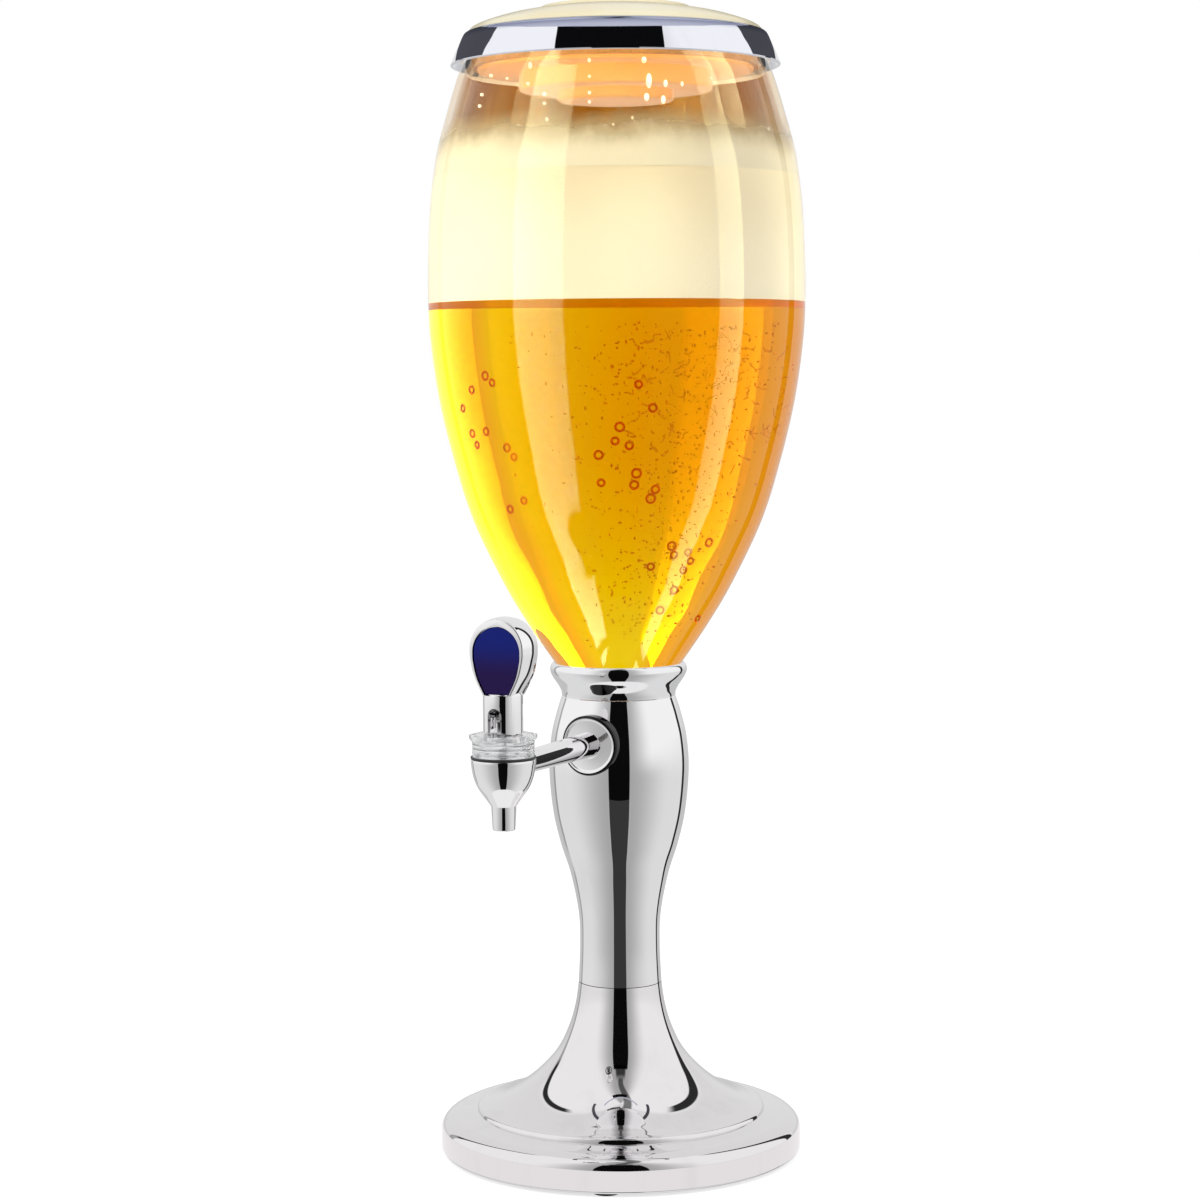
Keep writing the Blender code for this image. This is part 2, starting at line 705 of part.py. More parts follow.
def make_collar():
    """The ring flares to the barrel, which it clears by a hair at its rounded lip."""
    crease_height = COLLAR_BOTTOM + COLLAR_CREASE_RISE
    lip_centre = crease_height + COLLAR_LIP_STEP + COLLAR_LIP_HALF_HEIGHT
    rim = lip_centre + COLLAR_LIP_HALF_HEIGHT
    lip_root = radius_at(barrel_outline(1), rim) + COLLAR_CLEARANCE
    crease = (lip_root - COLLAR_CREASE_STEP, crease_height)
    lip = arc((lip_root, lip_centre), COLLAR_LIP_WIDTH, COLLAR_LIP_HALF_HEIGHT, -math.pi / 2, math.pi / 2, 5)
    inside = [
        (lip_root, crease_height + COLLAR_LIP_HALF_HEIGHT),
        (crease[0] - COLLAR_WALL, crease_height),
        (WAIST_RADIUS - COLLAR_WALL, COLLAR_BOTTOM),
    ]
    profile = [(WAIST_RADIUS, COLLAR_BOTTOM), crease] + lip + inside
    return turned("collar_ring", profile, COLUMN_FACETS, chrome("collar_chrome"))


def port_stack():
    """Places on the tap's axis, as distances from the column's axis, of what tightens the shank."""
    corner = SHANK_NUT_ACROSS_FLATS / 2 / math.cos(math.pi / 6)
    narrowest = min(column_radius(ARM_HEIGHT + corner), column_radius(ARM_HEIGHT - corner))
    inside = (narrowest - COLUMN_WALL) * math.cos(math.pi / COLUMN_FACETS)
    nut_front = math.sqrt(inside**2 - corner**2) - SEAT_GAP
    nut_back = nut_front - SHANK_NUT_THICKNESS
    seal_front = nut_back - SEAT_GAP
    seal_back = seal_front - PORT_SEAL_THICKNESS
    return {
        "nut_front": nut_front,
        "nut_back": nut_back,
        "seal_front": seal_front,
        "seal_back": seal_back,
        "cup_face": seal_back - SEAT_GAP,
    }


def make_outlet_cup():
    """Takes the barrel's thread above, the tie rod below and the tap's shank at its side."""
    thread_bore = BARREL_NECK_RADIUS + SEAT_GAP
    thread_bottom = BARREL_NECK_BOTTOM - SEAT_GAP
    boss_bottom = CUP_BOTTOM - CUP_BOSS_HEIGHT
    rod_bore = ROD_RADIUS + SEAT_GAP
    socket_roof = boss_bottom + ROD_THREAD_DEPTH + SEAT_GAP
    profile = [
        (rod_bore, boss_bottom),
        (CUP_BOSS_RADIUS, boss_bottom),
        (CUP_BOSS_RADIUS, CUP_BOTTOM),
        (CUP_RADIUS - CUP_CHAMFER, CUP_BOTTOM),
        (CUP_RADIUS, CUP_BOTTOM + CUP_CHAMFER),
        (CUP_RADIUS, CUP_FLANGE_BOTTOM),
        (CUP_RADIUS + CUP_FLANGE_LAP, CUP_FLANGE_BOTTOM),
        (CUP_RADIUS + CUP_FLANGE_LAP, CUP_TOP),
        (thread_bore, CUP_TOP),
        (thread_bore, thread_bottom),
        (CUP_CHAMBER_RADIUS, thread_bottom),
        (CUP_CHAMBER_RADIUS, CUP_FLOOR_TOP),
        (0.0, CUP_FLOOR_TOP),
        (0.0, socket_roof),
        (rod_bore, socket_roof),
    ]
    cup = turned("outlet_cup", profile, TAP_FACETS, finish("cup_plastic", (0.86, 0.86, 0.84), 0.45))
    face = port_stack()["cup_face"]
    spot = cylinder("port_spot_face", PORT_SEAL_RADIUS + SEAT_GAP, 0.0, LIP_BORE, SMALL_FACETS)
    drill = cylinder("port_hole", SHANK_RADIUS + SEAT_GAP, 0.0, LIP_BORE + OVERRUN, SMALL_FACETS)
    boolean(cup, along_y(spot, ARM_HEIGHT, -face), "DIFFERENCE")
    boolean(cup, along_y(drill, ARM_HEIGHT, -CUP_CHAMBER_RADIUS / 2), "DIFFERENCE")
    return cup


def make_shank_fixings():
    """The nut inside the column and the silicone washer between it and the outlet cup."""
    places = port_stack()
    bore = SHANK_RADIUS + SEAT_GAP
    thickness = places["nut_front"] - places["nut_back"]
    nut = hex_nut("shank_nut", SHANK_NUT_ACROSS_FLATS, bore, 0.0, thickness, steel("shank_nut_steel"))
    along_y(nut, ARM_HEIGHT, -places["nut_back"])
    depth = places["seal_front"] - places["seal_back"]
    ring = [(bore, 0.0), (PORT_SEAL_RADIUS, 0.0), (PORT_SEAL_RADIUS, depth), (bore, depth)]
    seal = turned("port_seal", ring, SMALL_FACETS, silicone("port_silicone"))
    along_y(seal, ARM_HEIGHT, -places["seal_back"])


def make_neck_gasket():
    inner = BARREL_NECK_RADIUS + SEAT_GAP
    outer = BARREL_FOOT_RADIUS - SEAT_GAP
    bottom = CUP_TOP + SEAT_GAP
    top = bottom + NECK_GASKET_THICKNESS
    ring = [(inner, bottom), (outer, bottom), (outer, top), (inner, top)]
    return turned("neck_gasket", ring, COLUMN_FACETS, silicone("neck_silicone"))


def barrel_outline(steps):
    """The barrel's outside, from its foot in the collar up to the mouth."""
    foot = (BARREL_FOOT_RADIUS, BARREL_FOOT)
    widest = (BARREL_RADIUS, BARREL_WIDEST)
    mouth = (BARREL_MOUTH_RADIUS, BARREL_RIM_BOTTOM)
    rise = between(BARREL_RISE_SHARES, foot, widest)
    fall = between(BARREL_FALL_SHARES, (mouth[0], widest[1]), (widest[0], mouth[1]))
    return flowing([foot] + rise + [widest] + fall + [mouth], steps)


def make_barrel():
    inside = inner_face(barrel_outline(1), BARREL_WALL)
    rim = [
        (BARREL_RIM_RADIUS, BARREL_RIM_BOTTOM),
        (BARREL_RIM_RADIUS, BARREL_TOP),
        (MOUTH_BORE, BARREL_TOP),
    ]
    neck = [
        (BARREL_NECK_BORE, BARREL_FOOT + BARREL_FLOOR_RISE),
        (BARREL_NECK_BORE, BARREL_NECK_BOTTOM),
        (BARREL_NECK_RADIUS, BARREL_NECK_BOTTOM),
        (BARREL_NECK_RADIUS, BARREL_FOOT),
    ]
    profile = barrel_outline(1) + rim + inside[::-1] + neck
    return turned("barrel", profile, BARREL_FACETS, clear("barrel_clear"))


def make_lid():
    """The lid's four pieces, which lift off together."""
    lift = pivot("lid_lift", (0.0, 0.0, BARREL_TOP))
    carry(lift, make_lid_plug(), make_lid_seal(), make_lid_band(), make_lid_dome())


def make_lid_plug():
    bottom = SEAT_GAP
    top = bottom + PLUG_FLANGE_THICKNESS
    first = bottom - PLUG_DEPTH
    second = first - PLUG_STEP_DEPTH
    third = second - PLUG_WELL_DEPTH
    round_centre = (PLUG_WELL_RADIUS - PLUG_ROUND, third + PLUG_ROUND)
    well_round = arc(round_centre, PLUG_ROUND, PLUG_ROUND, -math.pi / 2, 0.0, 2)
    profile = [
        (0.0, third),
        *well_round,
        (PLUG_WELL_RADIUS, second),
        (PLUG_STEP_RADIUS, second),
        (PLUG_STEP_RADIUS, first),
        (PLUG_RADIUS, first),
        (PLUG_RADIUS, bottom),
        (PLUG_FLANGE_RADIUS, bottom),
        (PLUG_FLANGE_RADIUS, top),
        (PLUG_RADIUS - PLUG_WALL, top),
        (PLUG_RADIUS - PLUG_WALL, first + PLUG_WALL),
        (PLUG_STEP_RADIUS - PLUG_WALL, first + PLUG_WALL),
        (PLUG_STEP_RADIUS - PLUG_WALL, second + PLUG_WALL),
        (PLUG_WELL_RADIUS - PLUG_WALL, second + PLUG_WALL),
        (PLUG_WELL_RADIUS - PLUG_WALL, third + PLUG_WALL),
        (0.0, third + PLUG_WALL),
    ]
    look = finish("plug_plastic", (0.93, 0.66, 0.38), 0.35, transmission=0.3)
    return turned("lid_plug", profile, LID_FACETS, look)


def make_lid_seal():
    inner = SEAL_RADIUS - SEAL_REACH
    top = -SEAT_GAP
    bottom = top - SEAL_HEIGHT
    ring = [
        (inner, bottom),
        (SEAL_RADIUS - SEAL_LIP, bottom),
        (SEAL_RADIUS, (bottom + top) / 2),
        (SEAL_RADIUS - SEAL_LIP, top),
        (inner, top),
    ]
    return turned("lid_seal", ring, LID_FACETS, silicone("seal_silicone"))


def make_lid_band():
    """The bright conical ring round the lid, with a bevelled upper edge."""
    edge = BAND_EDGE - BAND_DROP
    shoulder = (BAND_TOP_RADIUS, edge + BAND_HEIGHT)
    inside = inner_face([(BAND_RADIUS, edge), shoulder], BAND_WALL)
    bevel = arc((shoulder[0] - BEVEL_WIDTH, shoulder[1]), BEVEL_WIDTH, BEVEL_RISE, 0.0, math.pi / 2, 3)
    lip = DOME_SKIRT_RADIUS + SEAT_GAP
    profile = [
        (BAND_RADIUS - BAND_EDGE, -BAND_DROP),
        (BAND_RADIUS, edge),
        *bevel,
        (lip, shoulder[1] + BEVEL_RISE),
        (lip, shoulder[1] + BAND_EDGE),
        inside[1],
        inside[0],
    ]
    return turned("lid_band", profile, LID_FACETS, chrome("band_chrome"))


def make_lid_dome():
    """The shallow pale cap in the band, with a raised round panel in its middle."""
    bottom = SEAT_GAP + PLUG_FLANGE_THICKNESS + SEAT_GAP
    shoulder = bottom + DOME_SKIRT_HEIGHT
    panel_foot = shoulder + DOME_RISE
    low = (DOME_DISC_RADIUS, shoulder)
    high = (DOME_SKIRT_RADIUS, panel_foot)
    slope = flowing(
        [(DOME_SKIRT_RADIUS - DOME_EDGE, shoulder + DOME_EDGE)]
        + between(DOME_SHARES, low, high)
        + [(DOME_DISC_RADIUS, panel_foot)],
        1,
    )
    panel = [
        (DOME_DISC_RADIUS - DOME_EDGE, panel_foot + DOME_DISC_RISE),
        (DOME_DISC_RADIUS / 2, panel_foot + DOME_DISC_RISE + DOME_CROWN / 2),
        (0.0, panel_foot + DOME_DISC_RISE + DOME_CROWN),
    ]
    inside = inner_face([(DOME_SKIRT_RADIUS, shoulder)] + slope, DOME_WALL)[1:]
    profile = [
        (DOME_SKIRT_RADIUS, bottom),
        (DOME_SKIRT_RADIUS, shoulder),
        *slope,
        *panel,
        (0.0, panel_foot + DOME_DISC_RISE - DOME_WALL),
        *inside[::-1],
        (DOME_SKIRT_RADIUS - DOME_WALL, bottom),
    ]
    return turned("lid_dome", profile, LID_FACETS, finish("dome_plastic", (0.95, 0.91, 0.76), 0.25))


def make_escutcheon():
    """The bright disc that covers the hole in the column, saddled to the column's skin."""
    front = column_radius(ARM_HEIGHT) + ESCUTCHEON_FRONT
    back = math.sqrt(column_radius(ARM_HEIGHT) ** 2 - ESCUTCHEON_RADIUS**2) - OVERRUN
    thickness = front - back
    bore = ARM_ROOT_RADIUS + SEAT_GAP
    edge = arc(
        (ESCUTCHEON_RADIUS - ESCUTCHEON_EDGE, thickness - ESCUTCHEON_EDGE),
        ESCUTCHEON_EDGE,
        ESCUTCHEON_EDGE,
        0.0,
        math.pi / 2,
        3,
    )
    profile = [
        (bore, 0.0),
        (ESCUTCHEON_RADIUS, 0.0),
        *edge,
        (ESCUTCHEON_DISH_RADIUS, thickness - ESCUTCHEON_EDGE / 2),
        (bore, thickness - ESCUTCHEON_DISH),
    ]
    disc = turned("tap_escutcheon", profile, COLUMN_FACETS, chrome("escutcheon_chrome"))
    along_y(disc, ARM_HEIGHT, -back)
    return boolean(disc, column_envelope("escutcheon_saddle"), "DIFFERENCE")


def bowl_outline():
    """The tap body's outside from the spout's mouth up to the bowl's top edge."""
    low = (SPOUT_RADIUS, SPOUT_TOP)
    high = (BOWL_RADIUS, BOWL_TOP - BOWL_RIM)
    bowl = flowing([low] + between(BOWL_SHARES, low, high) + [high], 2)
    return [(SPOUT_TIP_RADIUS, SPOUT_BOTTOM)] + bowl + [(BOWL_RADIUS, BOWL_TOP)]


def make_tap_body():
    """One casting: spout, bowl, threaded neck, arm and shank, bored through."""
    outside = [(0.0, SPOUT_BOTTOM)] + bowl_outline() + [
        (TAP_NECK_RADIUS, BOWL_TOP),
        (TAP_NECK_RADIUS, TAP_NECK_TOP),
        (0.0, TAP_NECK_TOP),
    ]
    body = turned("tap_body", outside, TAP_FACETS, chrome("tap_chrome"))
    body.location = (0.0, -TAP_REACH, 0.0)

    root = math.sqrt(column_radius(ARM_HEIGHT) ** 2 - ARM_ROOT_RADIUS**2) - OVERRUN
    tip = TAP_REACH - CHAMBER_RADIUS
    taper = [(0.0, 0.0), (ARM_ROOT_RADIUS, 0.0), (ARM_TIP_RADIUS, tip - root), (0.0, tip - root)]
    arm = turned("tap_arm", taper, SMALL_FACETS, chrome("arm_chrome"))
    along_y(arm, ARM_HEIGHT, -root)
    boolean(arm, column_envelope("arm_saddle"), "DIFFERENCE")
    shank_end = CUP_RADIUS - SHANK_DEPTH
    shank_length = column_radius(ARM_HEIGHT) + OVERRUN - shank_end
    shank = cylinder("tap_shank", SHANK_RADIUS, 0.0, shank_length, SMALL_FACETS)
    along_y(shank, ARM_HEIGHT, -shank_end)
    boolean(body, arm, "UNION")
    boolean(body, shank, "UNION")

    hollow = [
        (0.0, SPOUT_BOTTOM - OVERRUN),
        (SPOUT_BORE, SPOUT_BOTTOM - OVERRUN),
        (SPOUT_BORE, SEAT_HEIGHT),
        (SPOUT_BORE + SEAT_RISE, SEAT_HEIGHT + SEAT_RISE),
        (CHAMBER_RADIUS, SEAT_HEIGHT + SEAT_RISE),
        (CHAMBER_RADIUS, TAP_NECK_TOP + OVERRUN),
        (0.0, TAP_NECK_TOP + OVERRUN),
    ]
    chamber = turned("tap_chamber", hollow, TAP_FACETS, steel("tap_chamber"))
    chamber.location = (0.0, -TAP_REACH, 0.0)
    passage = cylinder("arm_bore", ARM_BORE, 0.0, TAP_REACH - shank_end + OVERRUN, SMALL_FACETS)
    along_y(passage, ARM_HEIGHT, -shank_end + OVERRUN)
    boolean(body, chamber, "DIFFERENCE")
    boolean(body, passage, "DIFFERENCE")
    return body


def make_bonnet():
    """The clear nut that closes the tap, with a flared hexagon on top and a dark gasket below."""
    gasket_bottom = BOWL_TOP + SEAT_GAP
    gasket_top = gasket_bottom + GASKET_THICKNESS
    inner = TAP_NECK_RADIUS + SEAT_GAP
    ring = [
        (inner, gasket_bottom),
        (GASKET_RADIUS, gasket_bottom),
        (GASKET_RADIUS, gasket_top),
        (inner, gasket_top),
    ]
    gasket = turned("bonnet_gasket", ring, TAP_FACETS, rubber("gasket_rubber"))
    gasket.location = (0.0, -TAP_REACH, 0.0)

    facets = BONNET_FACETS
    flats = BONNET_CORNER_RADIUS * math.sqrt(3)
    recess_radius = CHAMBER_RADIUS - SEAT_GAP
    edge_bottom = BONNET_TOP - BONNET_EDGE
    stem_hole = STEM_RADIUS + SEAT_GAP
    rings = [
        circle(BONNET_BORE, BONNET_BOTTOM, facets),
        circle(BONNET_SKIRT_RADIUS, BONNET_BOTTOM, facets),
        circle(BONNET_SKIRT_RADIUS, edge_bottom - BONNET_FLARE, facets),
        hexagon(flats, edge_bottom, facets),
        hexagon(flats, BONNET_TOP, facets),
        circle(stem_hole, BONNET_TOP, facets),
        circle(stem_hole, BONNET_ROOF + BONNET_RECESS, facets),
        circle(recess_radius, BONNET_ROOF + BONNET_RECESS, facets),
        circle(recess_radius, BONNET_ROOF, facets),
        circle(BONNET_BORE, BONNET_ROOF, facets),
    ]
    bonnet = lofted("tap_bonnet", rings, clear("bonnet_clear"), ring_shaped=True)
    bonnet.rotation_euler = (0.0, 0.0, math.pi / 2)
    bonnet.location = (0.0, -TAP_REACH, 0.0)


def make_valve():
    """The stem with its piston ring, its soft plug and its spring, which rise when the lever tilts."""
    slide = pivot("stem_slide", (0.0, -TAP_REACH, 0.0))
    plug_bottom = SEAT_HEIGHT - (SPOUT_BORE - VALVE_PLUG_NOSE) + SEAT_GAP * math.sqrt(2)
    plug_top = plug_bottom + VALVE_PLUG_HEIGHT
    cone_top = plug_bottom + VALVE_PLUG_RADIUS - VALVE_PLUG_NOSE
    tip_top = plug_top + SEAT_GAP
    tip_bottom = tip_top - STEM_TIP_LENGTH
    socket = STEM_TIP_RADIUS + SEAT_GAP
    plug_profile = [
        (0.0, plug_bottom),
        (VALVE_PLUG_NOSE, plug_bottom),
        (VALVE_PLUG_RADIUS, cone_top),
        (VALVE_PLUG_RADIUS, plug_top),
        (socket, plug_top),
        (socket, tip_bottom - SEAT_GAP),
        (0.0, tip_bottom - SEAT_GAP),
    ]
    plug = turned("valve_plug", plug_profile, SMALL_FACETS, silicone("plug_silicone"))

    ring_outer = CHAMBER_RADIUS - SEAT_GAP
    ring_centre = ring_outer - RING_SECTION_RADIUS
    groove_radius = ring_centre - RING_SECTION_RADIUS - SEAT_GAP
    groove_bottom = PISTON_BOTTOM + PISTON_DISC
    groove_top = groove_bottom + 2 * (RING_SECTION_RADIUS + SEAT_GAP)
    piston_top = groove_top + PISTON_DISC
    stem_profile = [
        (0.0, tip_bottom),
        (STEM_TIP_RADIUS, tip_bottom),
        (STEM_TIP_RADIUS, tip_top),
        (STEM_COLLAR_RADIUS, tip_top),
        (STEM_COLLAR_RADIUS, tip_top + STEM_COLLAR_HEIGHT),
        (STEM_RADIUS, tip_top + STEM_COLLAR_HEIGHT),
        (STEM_RADIUS, PISTON_BOTTOM),
        (PISTON_RADIUS, PISTON_BOTTOM),
        (PISTON_RADIUS, groove_bottom),
        (groove_radius, groove_bottom),
        (groove_radius, groove_top),
        (PISTON_RADIUS, groove_top),
        (PISTON_RADIUS, piston_top),
        (STEM_RADIUS, piston_top),
    ]
    shoulder = -math.acos(STEM_RADIUS / STEM_HEAD_RADIUS)
    head = arc((0.0, PIN_HEIGHT), STEM_HEAD_RADIUS, STEM_HEAD_RADIUS, shoulder, math.pi / 2, 7)
    head[-1] = (0.0, head[-1][1])
    stem = turned("valve_stem", stem_profile + head, SMALL_FACETS, steel("stem_steel"))
    eye_half = STEM_HEAD_RADIUS + OVERRUN
    eye = cylinder("stem_eye", PIN_RADIUS + SEAT_GAP, -eye_half, eye_half, SMALL_FACETS)
    eye.rotation_euler = (0.0, math.pi / 2, 0.0)
    eye.location = (0.0, 0.0, PIN_HEIGHT)
    boolean(stem, eye, "DIFFERENCE")

    ring_height = groove_bottom + SEAT_GAP + RING_SECTION_RADIUS
    section = arc((ring_centre, ring_height), RING_SECTION_RADIUS, RING_SECTION_RADIUS, 0.0, math.tau, 8)[:-1]
    ring = turned("stem_o_ring", section, TAP_FACETS, rubber("o_ring_rubber"))
    spring = make_spring(piston_top + SEAT_GAP, BONNET_ROOF + BONNET_RECESS - SEAT_GAP)
    carry(slide, plug, stem, eye, ring, spring)


def make_spring(bottom, top):
    """The closing spring between the piston and the bonnet's roof."""
    low = bottom + SPRING_WIRE_RADIUS
    high = top - SPRING_WIRE_RADIUS
    count = SPRING_TURNS * SPRING_STEPS
    rings = []
    centres = []
    for step in range(count + 1):
        angle = math.tau * step / SPRING_STEPS
        height = low + (high - low) * step / count
        centres.append(Vector((SPRING_RADIUS * math.cos(angle), SPRING_RADIUS * math.sin(angle), height)))
        centre = (SPRING_RADIUS, height)
        section = arc(centre, SPRING_WIRE_RADIUS, SPRING_WIRE_RADIUS, 0.0, math.tau, SPRING_SIDES)
        rings.append([(reach * math.cos(angle), reach * math.sin(angle), up) for reach, up in section[:-1]])
    next_turn = centres[SPRING_STEPS:]
    least = min((above - below).length for above, below in zip(next_turn, centres))
    print(f"valve_spring: least gap between turns {(least - 2 * SPRING_WIRE_RADIUS) * 1000:.2f} mm")
    return lofted("valve_spring", rings, steel("spring_steel"))


def cam_outline():
    """Side view, as (y, z) from the pin, of the space that the hub keeps.

    The foot is flat behind and an involute in front. The lowest point under the pin is then a rest
    height plus CAM_LIFT for each radian of tilt, so the lever lifts the stem in step with its turn.
    """
    margin = HUB_RADIUS + OVERRUN
    top = PADDLE_HEIGHT + HUB_HEIGHT
    foot = [(margin, -PIN_RISE)]
    for step in range(CAM_STEPS + 1):
        tilt = TILT_LIMIT * step / CAM_STEPS
        drop = PIN_RISE + CAM_LIFT * tilt
        forward = drop * math.sin(tilt) + CAM_LIFT * math.cos(tilt)
        down = drop * math.cos(tilt) - CAM_LIFT * math.sin(tilt)
        foot.append((-forward, -down))
    ahead = OVERRUN / math.cos(TILT_LIMIT)
    last = foot[-1]
    foot.append((last[0] - OVERRUN, last[1] + ahead * math.sin(TILT_LIMIT)))
    return foot + [(foot[-1][0], top), (margin, top)]


def paddle_outline(border):
    """The paddle's face as (x, z) from its foot, drawn in by a border: an egg cut off below."""
    lower = PADDLE_HEIGHT - PADDLE_HALF_WIDTH
    side = [
        (PADDLE_FOOT_HALF_WIDTH + (PADDLE_HALF_WIDTH - PADDLE_FOOT_HALF_WIDTH) * across, lower * up)
        for up, across in PADDLE_SIDE_SHARES
    ]
    right = flowing(side, 2)
    crown = arc((0.0, lower), PADDLE_HALF_WIDTH, PADDLE_HALF_WIDTH, 0.0, math.pi, 14)[1:-1]
    left = [(-across, up) for across, up in right[::-1]]
    loop = right + crown + left
    drawn_in = []
    for index, (across, up) in enumerate(loop):
        before = Vector(loop[index - 1])
        here = Vector((across, up))
        after = Vector(loop[(index + 1) % len(loop)])
        first = (here - before).normalized()
        second = (after - here).normalized()
        inward = Vector((-first.y - second.y, first.x + second.x)).normalized()
        reach = border / max(inward.dot(Vector((-first.y, first.x))), 0.5)
        drawn_in.append(tuple(here + inward * reach))
    return drawn_in


def paddle_ring(border, depth, drop=0.0):
    """One loop of the paddle at a depth behind its face."""
    foot = HUB_HEIGHT - PIN_RISE - drop
    return [(across, depth - PADDLE_FRONT, foot + up) for across, up in paddle_outline(border)]


def make_lever():
    """Hub and paddle in one moulding, with the coloured insert in its face and the pin across it."""
    turn = pivot("lever_pivot", (0.0, -TAP_REACH, PIN_HEIGHT))

    hub_top = HUB_HEIGHT - PIN_RISE
    dome = arc((0.0, hub_top), HUB_RADIUS, HUB_DOME, 0.0, math.pi / 2, 4)
    dome[-1] = (0.0, dome[-1][1])
    outside = [(0.0, -PIN_RISE), (HUB_RADIUS, -PIN_RISE)] + dome
    lever = turned("tap_lever", outside, TAP_FACETS, chrome("lever_chrome"))

    side = cam_outline()
    width = HUB_RADIUS + OVERRUN
    keep = lofted("cam_space", [[(x, y, z) for y, z in side] for x in (-width, width)], steel("cam_space"))
    boolean(lever, keep, "INTERSECT")

    back = PADDLE_THICKNESS
    rounding = PADDLE_BACK_ROUND
    rings = [
        paddle_ring(PADDLE_FACE_EDGE, 0.0),
        paddle_ring(0.0, PADDLE_FACE_EDGE),
        paddle_ring(0.0, back - rounding),
        paddle_ring(rounding * (1 - math.cos(math.pi / 6)), back - rounding * (1 - math.sin(math.pi / 6))),
        paddle_ring(rounding * (1 - math.cos(math.pi / 3)), back - rounding * (1 - math.sin(math.pi / 3))),
        paddle_ring(rounding, back),
    ]
    paddle = lofted("lever_paddle", rings, steel("lever_paddle"))
    boolean(lever, paddle, "UNION")

    insert_back = INSERT_SINK + INSERT_THICKNESS
    pocket = lofted(
        "insert_pocket",
        [paddle_ring(INSERT_BORDER, depth, INSERT_DROP) for depth in (-OVERRUN, insert_back + SEAT_GAP)],
        steel("insert_pocket"),
    )
    boolean(lever, pocket, "DIFFERENCE")

    hollow_profile = [
        (0.0, -PIN_RISE - OVERRUN),
        (HUB_BORE, -PIN_RISE - OVERRUN),
        (HUB_BORE, HUB_BORE_RISE),
        (0.0, HUB_BORE_RISE),
    ]
    hollow = turned("hub_hollow", hollow_profile, TAP_FACETS, steel("hub_hollow"))
    boolean(lever, hollow, "DIFFERENCE")

    half = HUB_SLOT_HALF_WIDTH
    arch = arc((0.0, HUB_SLOT_RISE - half), half, half, 0.0, math.pi, 8)
    slot_outline = [(-half, -PIN_RISE - OVERRUN), (half, -PIN_RISE - OVERRUN)] + arch
    slot_back = -HUB_BORE / 2
    slot_front = -HUB_RADIUS - OVERRUN
    slot = lofted(
        "hub_slot",
        [[(x, y, z) for x, z in slot_outline] for y in (slot_back, slot_front)],
        steel("hub_slot"),
    )
    boolean(lever, slot, "DIFFERENCE")

    hole_half = PIN_HALF_LENGTH + SEAT_GAP
    pin_hole = cylinder("pin_hole", PIN_RADIUS + SEAT_GAP, -hole_half, hole_half, SMALL_FACETS)
    pin_hole.rotation_euler = (0.0, math.pi / 2, 0.0)
    boolean(lever, pin_hole, "DIFFERENCE")
    pin_look = steel("pin_steel")
    pin = cylinder("lever_pin", PIN_RADIUS, -PIN_HALF_LENGTH, PIN_HALF_LENGTH, SMALL_FACETS, pin_look)
    pin.rotation_euler = (0.0, math.pi / 2, 0.0)

    border = INSERT_BORDER + SEAT_GAP
    insert = lofted(
        "lever_insert",
        [paddle_ring(border, depth, INSERT_DROP) for depth in (INSERT_SINK, insert_back)],
        finish("insert_blue", (0.03, 0.03, 0.25), 0.15),
    )
    carry(turn, lever, keep, paddle, pocket, hollow, slot, pin_hole, pin, insert)


make_base_shell()
make_base_plate()
make_ballast()
make_feet()
make_centre_pad()
make_tie_rod()
make_column()
make_collar()
make_outlet_cup()
make_shank_fixings()
make_neck_gasket()
make_barrel()
make_escutcheon()
make_tap_body()
make_bonnet()
make_valve()
make_lever()
make_lid()
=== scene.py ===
import math
import random

import bmesh
import bpy
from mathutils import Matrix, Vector


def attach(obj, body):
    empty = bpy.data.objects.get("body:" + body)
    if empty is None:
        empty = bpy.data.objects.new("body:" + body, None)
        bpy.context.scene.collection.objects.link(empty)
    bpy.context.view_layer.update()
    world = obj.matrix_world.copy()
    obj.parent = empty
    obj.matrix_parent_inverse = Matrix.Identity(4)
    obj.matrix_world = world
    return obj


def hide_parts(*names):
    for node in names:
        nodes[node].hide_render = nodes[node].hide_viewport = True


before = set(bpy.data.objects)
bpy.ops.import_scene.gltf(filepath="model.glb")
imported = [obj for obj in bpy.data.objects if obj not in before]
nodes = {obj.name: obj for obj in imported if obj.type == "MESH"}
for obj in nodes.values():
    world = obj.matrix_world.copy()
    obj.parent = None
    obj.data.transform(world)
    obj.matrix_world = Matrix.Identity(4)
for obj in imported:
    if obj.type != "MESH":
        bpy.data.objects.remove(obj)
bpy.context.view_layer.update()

# Base. A trumpet of steel sheet, pressed and spun over a former, polished and bright chrome plated.
# The long tie rod inside clamps it under the column, and a short lip at its neck keeps both in line.
base_radius = 0.0825
base_wall = 0.0016
base_foot = 0.0015
base_rim_side = 0.0100
base_rim_edge = 0.0015
base_shoulder_width = 0.0095
base_shoulder_rise = 0.0061
base_ledge_rise = 0.0018
base_step_radius = 0.0660
base_step_setback = 0.0018
base_step_rise = 0.0022
base_neck_radius = 0.0190
base_height = 0.0783
base_flare_shares = (
    (0.936, 0.012), (0.771, 0.060), (0.551, 0.168), (0.352, 0.310),
    (0.198, 0.466), (0.088, 0.660), (0.029, 0.836),
)
spigot_radius = 0.0162
spigot_height = 0.0080
base_tint = (0.80, 0.785, 0.795)


def arc(centre, width, start, end, steps, rise=None):
    """Points of an arc, elliptic where a rise is given, with the angles in degrees."""
    rise = width if rise is None else rise
    angles = [math.radians(start + (end - start) * step / steps) for step in range(steps + 1)]
    return [(centre[0] + width * math.cos(angle), centre[1] + rise * math.sin(angle)) for angle in angles]


